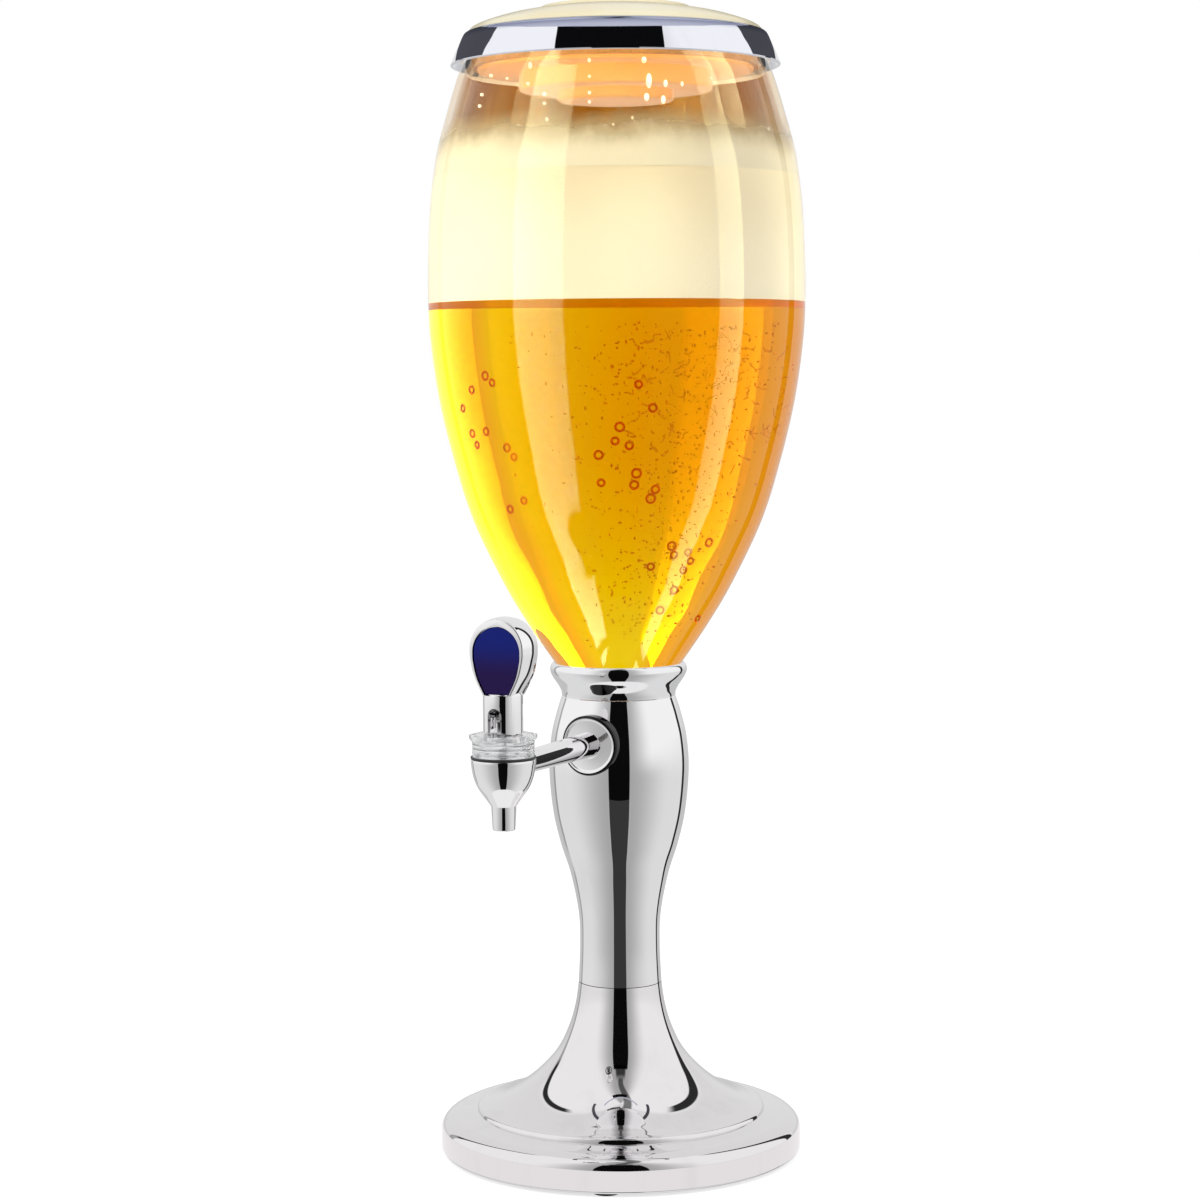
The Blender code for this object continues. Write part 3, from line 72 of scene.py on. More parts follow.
def flowing(points, steps):
    """A smooth curve through points, as a spinner's former is turned."""
    curve = []
    for index in range(len(points) - 1):
        before = Vector(points[max(index - 1, 0)])
        start = Vector(points[index])
        end = Vector(points[index + 1])
        after = Vector(points[min(index + 2, len(points) - 1)])
        for step in range(steps):
            share = step / steps
            bend = 2 * start + (end - before) * share
            bend += (2 * before - 5 * start + 4 * end - after) * share**2
            bend += (3 * start - before - 3 * end + after) * share**3
            curve.append(tuple(bend / 2))
    return curve + [tuple(points[-1])]


def placed(shares, low, high):
    """Shares of the way between two corners of an outline."""
    return [(low[0] + (high[0] - low[0]) * x, low[1] + (high[1] - low[1]) * y) for x, y in shares]


def wall_inside(path, wall):
    """The inner face of sheet metal whose outer face is the path, listed upwards."""
    moved = []
    for index, (radius, height) in enumerate(path):
        before = Vector(path[max(index - 1, 0)])
        after = Vector(path[min(index + 1, len(path) - 1)])
        along = (after - before).normalized()
        moved.append((radius - wall * along.y, height + wall * along.x))
    return moved


def as_piece(name, form, look, crease=35.0):
    """Makes a named piece of a bmesh, smooth but for its sharp corners."""
    bmesh.ops.remove_doubles(form, verts=form.verts, dist=0.0000005)
    bmesh.ops.recalc_face_normals(form, faces=form.faces)
    mesh = bpy.data.meshes.new(name)
    form.to_mesh(mesh)
    form.free()
    mesh.shade_smooth()
    mesh.set_sharp_from_angle(angle=math.radians(crease))
    mesh.materials.append(look)
    piece = bpy.data.objects.new(name, mesh)
    bpy.context.scene.collection.objects.link(piece)
    return piece


def circle(radius, steps, across=0.0, up=0.0):
    """A circle of points across an axis."""
    turns = [math.tau * step / steps for step in range(steps)]
    return [(across + radius * math.cos(turn), up + radius * math.sin(turn)) for turn in turns]


def loop_into(form, spots):
    """Adds a loop of points to a bmesh."""
    return [form.verts.new(spot) for spot in spots]


def join_loops(form, loops, closed=True):
    """Fills in the faces between loops of points, and from the last to the first where closed."""
    for lower, upper in zip(loops, loops[1:] + loops[:1] if closed else loops[1:]):
        for step in range(len(lower)):
            beside = (step + 1) % len(lower)
            corners = list(dict.fromkeys((lower[step], lower[beside], upper[beside], upper[step])))
            if len(corners) > 2:
                form.faces.new(corners)


def spin_into(form, outline, around, middle=(0.0, 0.0)):
    """Spins a closed outline of (radius, height) points round an upright axis into a bmesh."""
    rings = []
    for radius, height in outline:
        if radius < 0.0000001:
            rings.append([form.verts.new((*middle, height))] * around)
        else:
            rings.append(loop_into(form, [(x, y, height) for x, y in circle(radius, around, *middle)]))
    join_loops(form, rings)


def turned(name, outline, look, around=144, middle=(0.0, 0.0), crease=35.0):
    """A piece turned on a lathe or spun over a former."""
    form = bmesh.new()
    spin_into(form, outline, around, middle)
    return as_piece(name, form, look, crease)


def feed(tree, node, **values):
    """Sets a node's inputs by name, with _ for a space: sockets are linked, values are put in place."""
    for label, value in values.items():
        socket = node.inputs[label.replace("_", " ")]
        if isinstance(value, bpy.types.NodeSocket):
            tree.links.new(value, socket)
        elif isinstance(value, tuple) and socket.type == "RGBA":
            socket.default_value = (*value, 1.0)[:4]
        else:
            socket.default_value = value
    return node


def add(tree, kind, **values):
    """A new shader node with its inputs set."""
    return feed(tree, tree.nodes.new("ShaderNode" + kind), **values)


def object_places(tree):
    """The place on the object."""
    return add(tree, "TexCoord").outputs["Object"]


def parted(tree, vector):
    """The X, Y and Z of a vector."""
    return add(tree, "SeparateXYZ", Vector=vector).outputs


def noise_in(tree, places, scale, detail=3.0, roughness=0.5):
    """A noise texture on given places."""
    node = add(tree, "TexNoise", Vector=places, Scale=scale, Detail=detail, Roughness=roughness)
    return node.outputs["Fac"]


def mapped(tree, value, low, high, to_low=0.0, to_high=1.0, smooth=True):
    """A map range node that stays inside its limits."""
    node = add(tree, "MapRange", Value=value, From_Min=low, From_Max=high, To_Min=to_low, To_Max=to_high)
    node.interpolation_type = "SMOOTHSTEP" if smooth else "LINEAR"
    return node.outputs["Result"]


def worked(tree, operation, *values):
    """A math node on one or two values."""
    node = add(tree, "Math")
    node.operation = operation
    for socket, value in zip(node.inputs, values):
        if isinstance(value, (int, float)):
            socket.default_value = value
        else:
            tree.links.new(value, socket)
    return node.outputs["Value"]


def product(tree, first, *others):
    """Values multiplied one after the other."""
    for other in others:
        first = worked(tree, "MULTIPLY", first, other)
    return first


def leaning(tree, parts, along_x, along_y):
    """How far a place lies in a level direction."""
    return worked(tree, "ADD", product(tree, parts["X"], along_x), product(tree, parts["Y"], along_y))


def blended(tree, share, *colours):
    """A mix of two colours, each a value or a socket."""
    node = add(tree, "Mix")
    node.data_type = "RGBA"
    tree.links.new(share, node.inputs["Factor"])
    for socket, colour in zip([end for end in node.inputs if end.type == "RGBA"], colours):
        if isinstance(colour, tuple):
            socket.default_value = (*colour, 1.0)
        else:
            tree.links.new(colour, socket)
    return next(end for end in node.outputs if end.type == "RGBA")


def bumped(tree, height, strength, distance):
    """The normal of a surface with a height on it."""
    return add(tree, "Bump", Height=height, Strength=strength, Distance=distance).outputs["Normal"]


def effect_group(name, **settings):
    """An empty shader group with its settings' sockets and its colour, roughness and normal to be fed."""
    group = bpy.data.node_groups.new(name, "ShaderNodeTree")
    for label, value in settings.items():
        kind = "NodeSocketColor" if isinstance(value, tuple) else "NodeSocketFloat"
        group.interface.new_socket(label, in_out="INPUT", socket_type=kind).default_value = value
    for label, kind in (("Color", "Color"), ("Roughness", "Float"), ("Normal", "Vector")):
        group.interface.new_socket(label, in_out="OUTPUT", socket_type="NodeSocket" + kind)
    return group, group.nodes.new("NodeGroupInput").outputs, group.nodes.new("NodeGroupOutput")


# Bright plating: a hair of waviness from the polishing wheel, faint wipe marks and a few dull spots.
bright_plate = (0.90, 0.89, 0.90)
plating, plating_set, plating_made = effect_group(
    "polished plate",
    Bright=(*bright_plate, 1.0),
    Dull=(0.80, 0.79, 0.80, 1.0),
    Polish=0.02,
    Haze=0.05,
    Waviness=0.02,
)
plating_places = object_places(plating)
plating_wipe = add(plating, "Mapping", Vector=plating_places, Scale=(1.0, 1.0, 0.25)).outputs["Vector"]
plating_marks = noise_in(plating, plating_wipe, 60.0, 6.0, 0.6)
plating_marks = product(plating, mapped(plating, plating_marks, 0.50, 0.72), 0.7)
plating_specks = noise_in(plating, plating_places, 900.0, 2.0)
plating_specks = product(plating, mapped(plating, plating_specks, 0.70, 0.78), 0.3)
plating_share = worked(plating, "MAXIMUM", plating_marks, plating_specks)
feed(
    plating,
    plating_made,
    Color=blended(plating, plating_share, plating_set["Bright"], plating_set["Dull"]),
    Roughness=mapped(
        plating, plating_share, 0.0, 1.0, plating_set["Polish"], plating_set["Haze"], smooth=False
    ),
    Normal=bumped(plating, noise_in(plating, plating_places, 45.0, 1.0), plating_set["Waviness"], 0.001),
)


def plain_shader(name, **values):
    """A material with its Principled shader, and the values put on it."""
    look = bpy.data.materials.new(name)
    look.use_nodes = True
    tree = look.node_tree
    return look, tree, feed(tree, tree.nodes["Principled BSDF"], **values)


def with_effect(name, group, metallic, **settings):
    """A material whose colour, roughness and normal come from a shader group."""
    look, tree, shader = plain_shader(name, Metallic=metallic)
    effect = add(tree, "Group")
    effect.node_tree = group
    made = feed(tree, effect, **settings).outputs
    feed(tree, shader, Base_Color=made["Color"], Roughness=made["Roughness"], Normal=made["Normal"])
    return look


def chrome(name, bright=bright_plate, waviness=0.02):
    """Bright chrome plate for one piece."""
    dull = tuple(0.93 * part for part in bright)
    return with_effect(name, plating, 1.0, Bright=bright, Dull=dull, Waviness=waviness)


base_rim_top = base_foot + base_rim_side
base_step_reach = base_step_radius - base_step_setback
base_ledge_top = base_rim_top + base_shoulder_rise + base_ledge_rise
base_edge_middle = (base_radius - base_rim_edge, base_foot + base_rim_edge)
base_edge = arc(base_edge_middle, base_rim_edge, -90, 0, 6)
base_shoulder_middle = (base_radius - base_shoulder_width, base_rim_top)
base_shoulder = arc(base_shoulder_middle, base_shoulder_width, 0, 90, 18, base_shoulder_rise)
base_step = arc((base_step_reach, base_ledge_top), base_step_setback, 0, 90, 8, base_step_rise)
base_low = (base_neck_radius, base_ledge_top + base_step_rise)
base_high = (base_step_reach, base_height)
base_flare = [(base_high[0], base_low[1])] + placed(base_flare_shares, base_low, base_high)
base_flare = flowing(base_flare + [(base_low[0], base_high[1])], 8)
base_skin = [(base_radius, base_edge_middle[1])] + base_shoulder + base_step[-1:] + base_flare[1:]
base_inner = wall_inside(base_skin, base_wall)
base_inner[0] = (base_radius - base_wall, base_foot)
base_inner[-1] = (base_neck_radius - base_wall, base_height - base_wall)
base_spigot = [
    (spigot_radius, base_height),
    (spigot_radius, base_height + spigot_height),
    (spigot_radius - base_wall, base_height + spigot_height),
    (spigot_radius - base_wall, base_height - base_wall),
]
base_outline = base_edge + base_shoulder[1:] + base_step + base_flare[1:] + base_spigot + base_inner[::-1]
base = turned("base_trumpet", base_outline, chrome("base chrome", base_tint), around=192)
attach(base, "stand")
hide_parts("base_shell")

# Underside. A black painted steel plate closes the rim, with a cast iron ring on it for weight and a
# recess for the bolt. Four moulded rubber feet push through it, and a rubber pad covers the recess.
plate_colour = (0.035, 0.035, 0.036)
iron_colour = (0.11, 0.105, 0.10)
rubber_colour = (0.035, 0.035, 0.036)
foot_radius = 0.0065
foot_edge = 0.0004
foot_pad_top = 0.0017
foot_stem = 0.0021
foot_barb = (0.0029, 0.0038)
foot_top = 0.0052
foot_circle = 0.0735
foot_clock = 20.0

# A moulded or cast skin: two colours in fine grain, with the grain's own bump.
grain, grain_set, grain_made = effect_group(
    "fine grain",
    Light=(0.05, 0.05, 0.05, 1.0),
    Dark=(0.02, 0.02, 0.02, 1.0),
    Grain=900.0,
    Depth=0.2,
    Smooth=0.5,
    Rough=0.7,
)
grain_places = object_places(grain)
grain_height = noise_in(grain, grain_places, grain_set["Grain"], 5.0, 0.6)
grain_patches = noise_in(grain, grain_places, 70.0)
grain_share = mapped(grain, worked(grain, "ADD", grain_height, grain_patches), 0.7, 1.3)
feed(
    grain,
    grain_made,
    Color=blended(grain, grain_share, grain_set["Dark"], grain_set["Light"]),
    Roughness=mapped(grain, grain_patches, 0.3, 0.7, grain_set["Smooth"], grain_set["Rough"]),
    Normal=bumped(grain, grain_height, grain_set["Depth"], 0.0002),
)


def grainy(name, colour, size, depth, smooth, rough, metallic=0.0):
    """A cast, painted or moulded finish."""
    light = tuple(min(1.0, 1.12 * part) for part in colour)
    dark = tuple(0.85 * part for part in colour)
    skin = {"Grain": size, "Depth": depth, "Smooth": smooth, "Rough": rough}
    return with_effect(name, grain, metallic, Light=light, Dark=dark, **skin)


def dress(node, look):
    """Gives a CAD piece that keeps its shape its finish."""
    piece = nodes[node]
    piece.data.materials.clear()
    piece.data.materials.append(look)


dress("base_plate", grainy("black paint", plate_colour, 500.0, 0.15, 0.35, 0.55))
dress("ballast_ring", grainy("cast iron", iron_colour, 350.0, 0.6, 0.6, 0.85, 0.8))
rubber = grainy("foot rubber", rubber_colour, 1200.0, 0.2, 0.6, 0.8)
dress("centre_pad", rubber)
foot_outline = (
    [(0.0, 0.0), (foot_radius - 3 * foot_edge, 0.0)]
    + arc((foot_radius - 2 * foot_edge, 2 * foot_edge), 2 * foot_edge, -75, 0, 5)
    + [(foot_radius, foot_pad_top), (foot_stem, foot_pad_top), (foot_stem, foot_barb[1]), foot_barb]
    + [(foot_stem, foot_top), (0.0, foot_top)]
)
for number in range(1, 5):
    angle = math.radians(foot_clock + 90 * (number - 2))
    middle = (foot_circle * math.cos(angle), foot_circle * math.sin(angle))
    foot = turned(f"foot_{number}", foot_outline, rubber, around=40, middle=middle)
    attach(foot, "stand")
    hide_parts(f"rubber_foot_{number}")

# Tie rod. A zinc plated threaded steel rod runs up the middle from the nut and washer in the recess
# to the outlet cup's boss, where a second nut locks it. It pulls cup, column and base together.
zinc_colour = (0.50, 0.51, 0.53)
zinc_bloom = (0.40, 0.40, 0.41)
rod_pitch = 0.00125


def zinc_plated(name, pitch=0.0):
    """Dull zinc plate on steel, with a thread of some pitch along Z where it has one."""
    look, tree, shader = plain_shader(name, Metallic=1.0)
    places = object_places(tree)
    bloom = noise_in(tree, places, 220.0, 5.0, 0.6)
    colour = blended(tree, mapped(tree, bloom, 0.35, 0.7), zinc_colour, zinc_bloom)
    feed(tree, shader, Base_Color=colour, Roughness=mapped(tree, bloom, 0.3, 0.7, 0.22, 0.42))
    if pitch:
        thread = worked(tree, "PINGPONG", parted(tree, places)["Z"], pitch / 2)
        feed(tree, shader, Normal=bumped(tree, thread, 1.0, 1.0))
    return look


dress("tie_rod", zinc_plated("rod zinc", rod_pitch))
dress("tie_rod_washer", zinc_plated("washer zinc"))
dress("tie_rod_nut", zinc_plated("nut zinc"))
dress("rod_lock_nut", zinc_plated("lock nut zinc"))

# Column. A steel tube, bulged by hydroforming and chrome plated. Its foot drops over the base's lip,
# and a rolled lip in its top holds the outlet cup. One hole in front passes the tap's shank.
column_bottom = 0.0786
column_top = 0.2101
column_wall = 0.0018
column_bore = 0.0165
column_slim = (0.0183, 0.125)
column_bulge = (0.0319, 0.748)
waist_radius = 0.0259
column_rise_shares = ((0.037, 0.239), (0.294, 0.376), (0.640, 0.490), (0.882, 0.604))
column_fall_shares = ((0.817, 0.862), (0.383, 0.946))
column_inner_top = 0.1979
column_lip_root = 0.1981
column_lip = ((0.0236, column_top), (0.0236, 0.2081), (0.0216, 0.2081), (0.0216, 0.2021))
column_tint = (0.88, 0.87, 0.88)
shank_hole = 0.0043
shank_drill = (-0.040, -0.018)
arm_height = 0.1908


def radius_at(outline, height):
    """The radius of a turned outline at a height."""
    if height < outline[0][1]:
        return outline[0][0]
    for (low_radius, low), (high_radius, high) in zip(outline, outline[1:]):
        if low <= height <= high:
            return low_radius + (high_radius - low_radius) * (height - low) / (high - low)
    return outline[-1][0]


column_height = column_top - column_bottom
slim = (column_slim[0], column_bottom + column_height * column_slim[1])
bulge = (column_bulge[0], column_bottom + column_height * column_bulge[1])
column_skin = flowing(
    [(base_neck_radius, column_bottom), slim]
    + placed(column_rise_shares, (slim[0], column_bottom), (bulge[0], column_top))
    + [bulge]
    + placed(column_fall_shares, (waist_radius, column_bottom), (bulge[0], column_top))
    + [(waist_radius, column_top)],
    8,
)
column_inner = [(max(radius - column_wall, column_bore), height) for radius, height in column_skin]
column_inner = [place for place in column_inner if place[1] < column_inner_top]
column_ledge = (radius_at(column_skin, column_lip_root) - column_wall, column_lip_root)
column = turned(
    "column_tube",
    column_skin + [*column_lip, column_ledge] + column_inner[::-1],
    chrome("column chrome", column_tint),
    around=160,
)


def cutter(name, outline, front, back, middle=(0.0, 0.0, 0.0), axis="Y"):
    """A prism that cuts a piece: its outline lies across an axis, from front to back along it."""
    form = bmesh.new()
    loops = []
    for depth in (front, back):
        places = [(across, depth, up) if axis == "Y" else (depth, across, up) for across, up in outline]
        spots = [(middle[0] + x, middle[1] + y, middle[2] + z) for x, y, z in places]
        loops.append(loop_into(form, spots))
    join_loops(form, loops, closed=False)
    form.faces.new(loops[0])
    form.faces.new(loops[1][::-1])
    return as_piece(name, form, None)


def carve(piece, *tools, operation="DIFFERENCE"):
    """Works tools into a piece, and takes the tools away."""
    for tool in tools:
        step = piece.modifiers.new(tool.name, "BOOLEAN")
        step.operation = operation
        step.object = tool
    shape = bpy.context.evaluated_depsgraph_get()
    mesh = bpy.data.meshes.new_from_object(piece.evaluated_get(shape))
    piece.modifiers.clear()
    piece.data = mesh
    mesh.shade_smooth()
    mesh.set_sharp_from_angle(angle=math.radians(32.0))
    for tool in tools:
        bpy.data.objects.remove(tool, do_unlink=True)


carve(column, cutter("shank_drill", circle(shank_hole, 32), *shank_drill, (0.0, 0.0, arm_height)))
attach(column, "stand")
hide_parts("column_shell")

# Collar. A short flared ring of spun steel, chrome plated, that sits on the column's top. It hides
# the barrel's screw joint, and the barrel passes its rolled lip with a hair of room.
collar_bottom = 0.2104
collar_wall = 0.0016
collar_flare = ((0.0261, 0.2124), (0.0275, 0.2152), (0.0298, 0.2186), (0.0309, 0.2208))
collar_crease = (0.0284, 0.2187)
collar_lip_root = 0.0295
collar_lip_width = 0.0017
collar_lip_half = 0.0032
collar_lip_centre = 0.2222
collar_tint = (0.86, 0.86, 0.87)

collar_lip = (collar_lip_root + collar_lip_width, collar_lip_centre)
collar_outline = (
    flowing([(waist_radius, collar_bottom), *collar_flare, collar_lip], 6)
    + arc((collar_lip_root, collar_lip_centre), collar_lip_width, 0, 90, 10, collar_lip_half)[1:]
    + [(collar_lip_root, collar_crease[1] + collar_lip_half)]
    + [(collar_crease[0] - collar_wall, collar_crease[1]), (waist_radius - collar_wall, collar_bottom)]
)
collar = turned("collar", collar_outline, chrome("collar chrome", collar_tint), around=160)
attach(collar, "stand")
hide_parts("collar_ring")

# Outlet cup. A white moulded plastic cup in the column's top: the barrel's neck screws into it on a
# silicone ring, and the tap's shank enters its side, where a steel nut pulls it on a silicone washer.
cup_colour = (0.80, 0.79, 0.76)
silicone_colour = (0.66, 0.66, 0.63)


def silicone(name, colour=silicone_colour):
    """Soft moulded silicone, matt and fine in its grain."""
    return grainy(name, colour, 900.0, 0.05, 0.4, 0.5)


dress("outlet_cup", grainy("cup plastic", cup_colour, 700.0, 0.08, 0.35, 0.5))
dress("port_seal", silicone("port silicone"))
dress("shank_nut", zinc_plated("shank nut plate"))
dress("neck_gasket", silicone("neck silicone"))

# Barrel. A clear egg of blow moulded plastic with a screwed neck below and an open mouth with a
# rolled rim above. Its wall is glossy on both sides and very slightly uneven.
barrel_wall = 0.0025
barrel_foot = (0.0185, 0.2119)
barrel_widest = (0.0850, 0.3920)
barrel_mouth = (0.0680, 0.4955)
barrel_neck_radius = 0.0150
barrel_neck_bore = 0.0115
barrel_neck_bottom = 0.1991
barrel_neck_entry = 0.0010
barrel_top = 0.4975
barrel_rim_radius = 0.0700
barrel_mouth_bore = 0.0655
barrel_rim_under = 0.0006
barrel_rim_outer = 0.0008
barrel_rise_shares = (
    (0.165, 0.0794), (0.352, 0.1816), (0.511, 0.2826), (0.705, 0.4342),
    (0.833, 0.5858), (0.929, 0.7363), (0.986, 0.8862),
)
barrel_fall_shares = ((0.976, 0.222), (0.895, 0.425), (0.741, 0.605), (0.488, 0.765), (0.190, 0.925))
thread_turns = 4
thread_depth = 0.0009
thread_first = 0.0018
thread_pitch = 0.0026
thread_land = 0.0004
# Painted glow: heights and colours of the warm tint painted into the clear wall.
painted_warm_glow_low = (0.3900, 0.4600, (1.0, 0.95, 0.84))
painted_warm_glow_high = (0.4700, 0.4930, (1.0, 0.80, 0.56))


def clear_plastic(name, tint, roughness=0.0, waviness=0.0, shine=1.0, frost=0.0):
    """Clear moulded plastic with a faint flow in its surface."""
    look, tree, shader = plain_shader(name, Transmission_Weight=1.0 - frost, IOR=1.46, Roughness=0.0)
    places = object_places(tree)
    flow = noise_in(tree, places, 35.0, 2.0)
    colour = blended(tree, mapped(tree, flow, 0.3, 0.7), tint, tuple(0.985 * part for part in tint))
    feed(tree, shader, Base_Color=colour, Specular_Tint=(shine, shine, shine))
    if roughness:
        marks = noise_in(tree, places, 300.0, 4.0)
        feed(tree, shader, Roughness=mapped(tree, marks, 0.5, 0.8, roughness, roughness + 0.015))
    if waviness:
        feed(tree, shader, Normal=bumped(tree, flow, waviness, 0.001))
    return look


def tint_upwards(piece, low, high, colour):
    """Blends a colour into a piece's own one from one height to another."""
    tree = piece.data.materials[0].node_tree
    shader = tree.nodes["Principled BSDF"]
    own = shader.inputs["Base Color"].links[0].from_socket
    share = mapped(tree, parted(tree, object_places(tree))["Z"], low, high)
    feed(tree, shader, Base_Color=blended(tree, share, own, colour))


barrel_rise = placed(barrel_rise_shares, barrel_foot, barrel_widest)
barrel_fall = placed(
    barrel_fall_shares, (barrel_mouth[0], barrel_widest[1]), (barrel_widest[0], barrel_mouth[1])
)
barrel_skin = flowing([barrel_foot, *barrel_rise, barrel_widest, *barrel_fall, barrel_mouth], 8)
barrel_inner = wall_inside(barrel_skin, barrel_wall)
rim_under_middle = (barrel_rim_radius - barrel_rim_under, barrel_mouth[1] + barrel_rim_under)
rim_outer_middle = (barrel_rim_radius - barrel_rim_outer, barrel_top - barrel_rim_outer)
rim_inner_middle = (barrel_mouth_bore + barrel_rim_under, barrel_top - barrel_rim_under)
barrel_rim = (
    arc(rim_under_middle, barrel_rim_under, -90, 0, 3)
    + arc(rim_outer_middle, barrel_rim_outer, 0, 90, 4)
    + arc(rim_inner_middle, barrel_rim_under, 90, 180, 4)
)
thread_root = barrel_neck_radius - thread_depth
barrel_neck = [(barrel_neck_bore, barrel_foot[1] + barrel_neck_entry), (barrel_neck_bore, barrel_neck_bottom)]
barrel_neck += [(thread_root, barrel_neck_bottom)]
for turn in range(thread_turns):
    crest = barrel_neck_bottom + thread_first + thread_pitch * turn
    barrel_neck += [(thread_root, crest - thread_depth), (barrel_neck_radius, crest)]
    barrel_neck += [(barrel_neck_radius, crest + thread_land)]
barrel = turned(
    "barrel_shell",
    barrel_skin + barrel_rim + barrel_inner[::-1] + barrel_neck + [(thread_root, barrel_foot[1])],
    clear_plastic("barrel clear", (1.0, 1.0, 1.0), waviness=0.01, shine=0.12),
    around=192,
)
# Painted glow: the clear wall is painted warm from the beer's top upwards and peach under the rim, standing
# in for the warm light that the foam and the orange plug throw through it.
tint_upwards(barrel, *painted_warm_glow_low)
tint_upwards(barrel, *painted_warm_glow_high)
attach(barrel, "stand")
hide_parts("barrel")

# Beer. Pale lager that fills the barrel to a little above its widest place. Its yellow is painted darker
# amber towards the camera's right, more so higher up, and deeper amber where its surface is seen edge-on:
# painted shade.
beer_gap = -0.0002
filling_gap = 0.00015
beer_level = 0.3885
beer_floor = 0.2130
beer_neck_top = 0.0012
beer_yellow = (0.97, 0.80, 0.015)
beer_shaded_amber = (0.86, 0.44, 0.004)
beer_edge_shade_tones = ((0.105, 0.165, 0.9, (0.90, 0.36, 0.002)), (0.222, 0.258, 0.65, (0.95, 0.36, 0.004)))


def inside_radius(height, gap):
    """How far a filling reaches at a height, a gap inside the barrel's wall."""
    return radius_at(barrel_inner, height) - gap


def filling(low, high, gap, steps=60):
    """The outline of a filling between two heights."""
    heights = [low + (high - low) * step / steps for step in range(steps + 1)]
    return [(inside_radius(height, gap), height) for height in heights]


beer_look, beer_tree, beer_shader = plain_shader(
    "lager", Transmission_Weight=1.0, IOR=1.33, Roughness=0.0, Specular_Tint=(0.0, 0.0, 0.0)
)
beer_places = object_places(beer_tree)
beer_parts = parted(beer_tree, beer_places)
beer_clouds = product(beer_tree, noise_in(beer_tree, beer_places, 12.0, 2.0), 0.03)
# Painted shade: a darker amber towards the camera's right, growing with height, with a little noise.
beer_shade = worked(beer_tree, "ADD", leaning(beer_tree, beer_parts, 0.906, 0.423), beer_clouds)
beer_painted_shade_side = mapped(beer_tree, beer_shade, -0.040, 0.028)
beer_shade_rise = mapped(beer_tree, beer_parts["Z"], 0.235, 0.330, 0.25)
beer_tone = blended(beer_tree, product(beer_tree, beer_painted_shade_side, beer_shade_rise), beer_yellow, beer_shaded_amber)
# Painted shade: deeper amber where the beer's surface turns edge-on to the view.
beer_facing = add(beer_tree, "LayerWeight").outputs["Facing"]
for low, high, most, tone in beer_edge_shade_tones:
    beer_tone = blended(beer_tree, mapped(beer_tree, beer_facing, low, high, 0.0, most), beer_tone, tone)
feed(beer_tree, beer_shader, Base_Color=beer_tone)
beer_depth = add(beer_tree, "VolumeAbsorption", Color=(0.985, 0.955, 0.0), Density=60.0)
feed(beer_tree, beer_tree.nodes["Material Output"], Volume=beer_depth.outputs["Volume"])
beer_neck = barrel_neck_bore - filling_gap
beer = turned(
    "beer",
    [(0.0, barrel_neck_bottom), (beer_neck, barrel_neck_bottom), (beer_neck, barrel_foot[1] + beer_neck_top)]
    + filling(beer_floor, beer_level, beer_gap)
    + [(0.0, beer_level)],
    beer_look,
    around=160,
)
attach(beer, "stand")

# Foam. A thick head of cream coloured froth stands on the beer, packed flat against the wall and
# domed where it was poured, with large soft lobes on its face.
foam_top = 0.4520
foam_sink = 0.0003
foam_dome = ((0.055, 0.003), (0.035, 0.006), (0.015, 0.008), (0.0, 0.008))
foam_swell = 0.003
foam_swell_reach = 0.06
foam_swell_depth = 0.002
foam_tones = ((0.78, 0.69, 0.53), (0.68, 0.58, 0.44))
foam_lobe_lit_tone = (0.83, 0.75, 0.61)

foam_look, foam_tree, foam_shader = plain_shader("foam", Roughness=0.75, Specular_IOR_Level=0.1)
foam_places = object_places(foam_tree)
foam_swirl = product(foam_tree, noise_in(foam_tree, foam_places, 9.0, 2.0), 0.05)
foam_height = worked(foam_tree, "ADD", parted(foam_tree, foam_places)["Z"], foam_swirl)
foam_cream = blended(foam_tree, mapped(foam_tree, foam_height, 0.425, 0.480), *foam_tones)
# Painted shade: the lobes are painted paler at their middles and fall back to the darker cream between them,
# as light and shade on bulges the mesh doesn't have.
foam_lobes = add(foam_tree, "TexVoronoi")
foam_lobes.feature = "SMOOTH_F1"
feed(foam_tree, foam_lobes, Vector=foam_places, Scale=15.0, Smoothness=0.6)
foam_lobe_painted_light = mapped(foam_tree, foam_lobes.outputs["Distance"], 0.15, 0.75, 0.85, 0.0)
foam_cells = add(foam_tree, "TexVoronoi", Vector=foam_places, Scale=900.0).outputs["Distance"]
feed(
    foam_tree,
    foam_shader,
    Base_Color=blended(foam_tree, foam_lobe_painted_light, foam_cream, foam_lobe_lit_tone),
    Normal=bumped(foam_tree, foam_cells, 0.15, 0.0004),
)
foam_foot = beer_level - foam_sink
foam = turned(
    "foam_head",
    [(0.0, foam_foot)]
    + filling(foam_foot, foam_top, beer_gap, 44)
    + [(radius, foam_top + rise) for radius, rise in foam_dome],
    foam_look,
    around=160,
)
for vertex in foam.data.vertices:
    x, y, z = vertex.co
    if z > foam_top - foam_swell_depth and math.hypot(x, y) < foam_swell_reach:
        vertex.co.z = z + math.sin(70 * x + 2.0) * math.sin(80 * y + 1.0) * foam_swell

# Painted glow: the foam's underside in the beer glows a faint orange though it is no lamp.
soaked_look, soaked_tree, soaked_shader = plain_shader(
    "soaked foam", Roughness=0.8, Emission_Color=(1.0, 0.50, 0.08), Emission_Strength=0.08
)
soaked_cells = noise_in(soaked_tree, object_places(soaked_tree), 260.0, 4.0)
soaked_tone = blended(soaked_tree, soaked_cells, (0.72, 0.30, 0.02), (1.0, 0.60, 0.10))
feed(soaked_tree, soaked_shader, Base_Color=soaked_tone)
foam.data.materials.append(soaked_look)
for face in foam.data.polygons:
    if face.center.z < beer_level:
        face.material_index = 1
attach(foam, "stand")

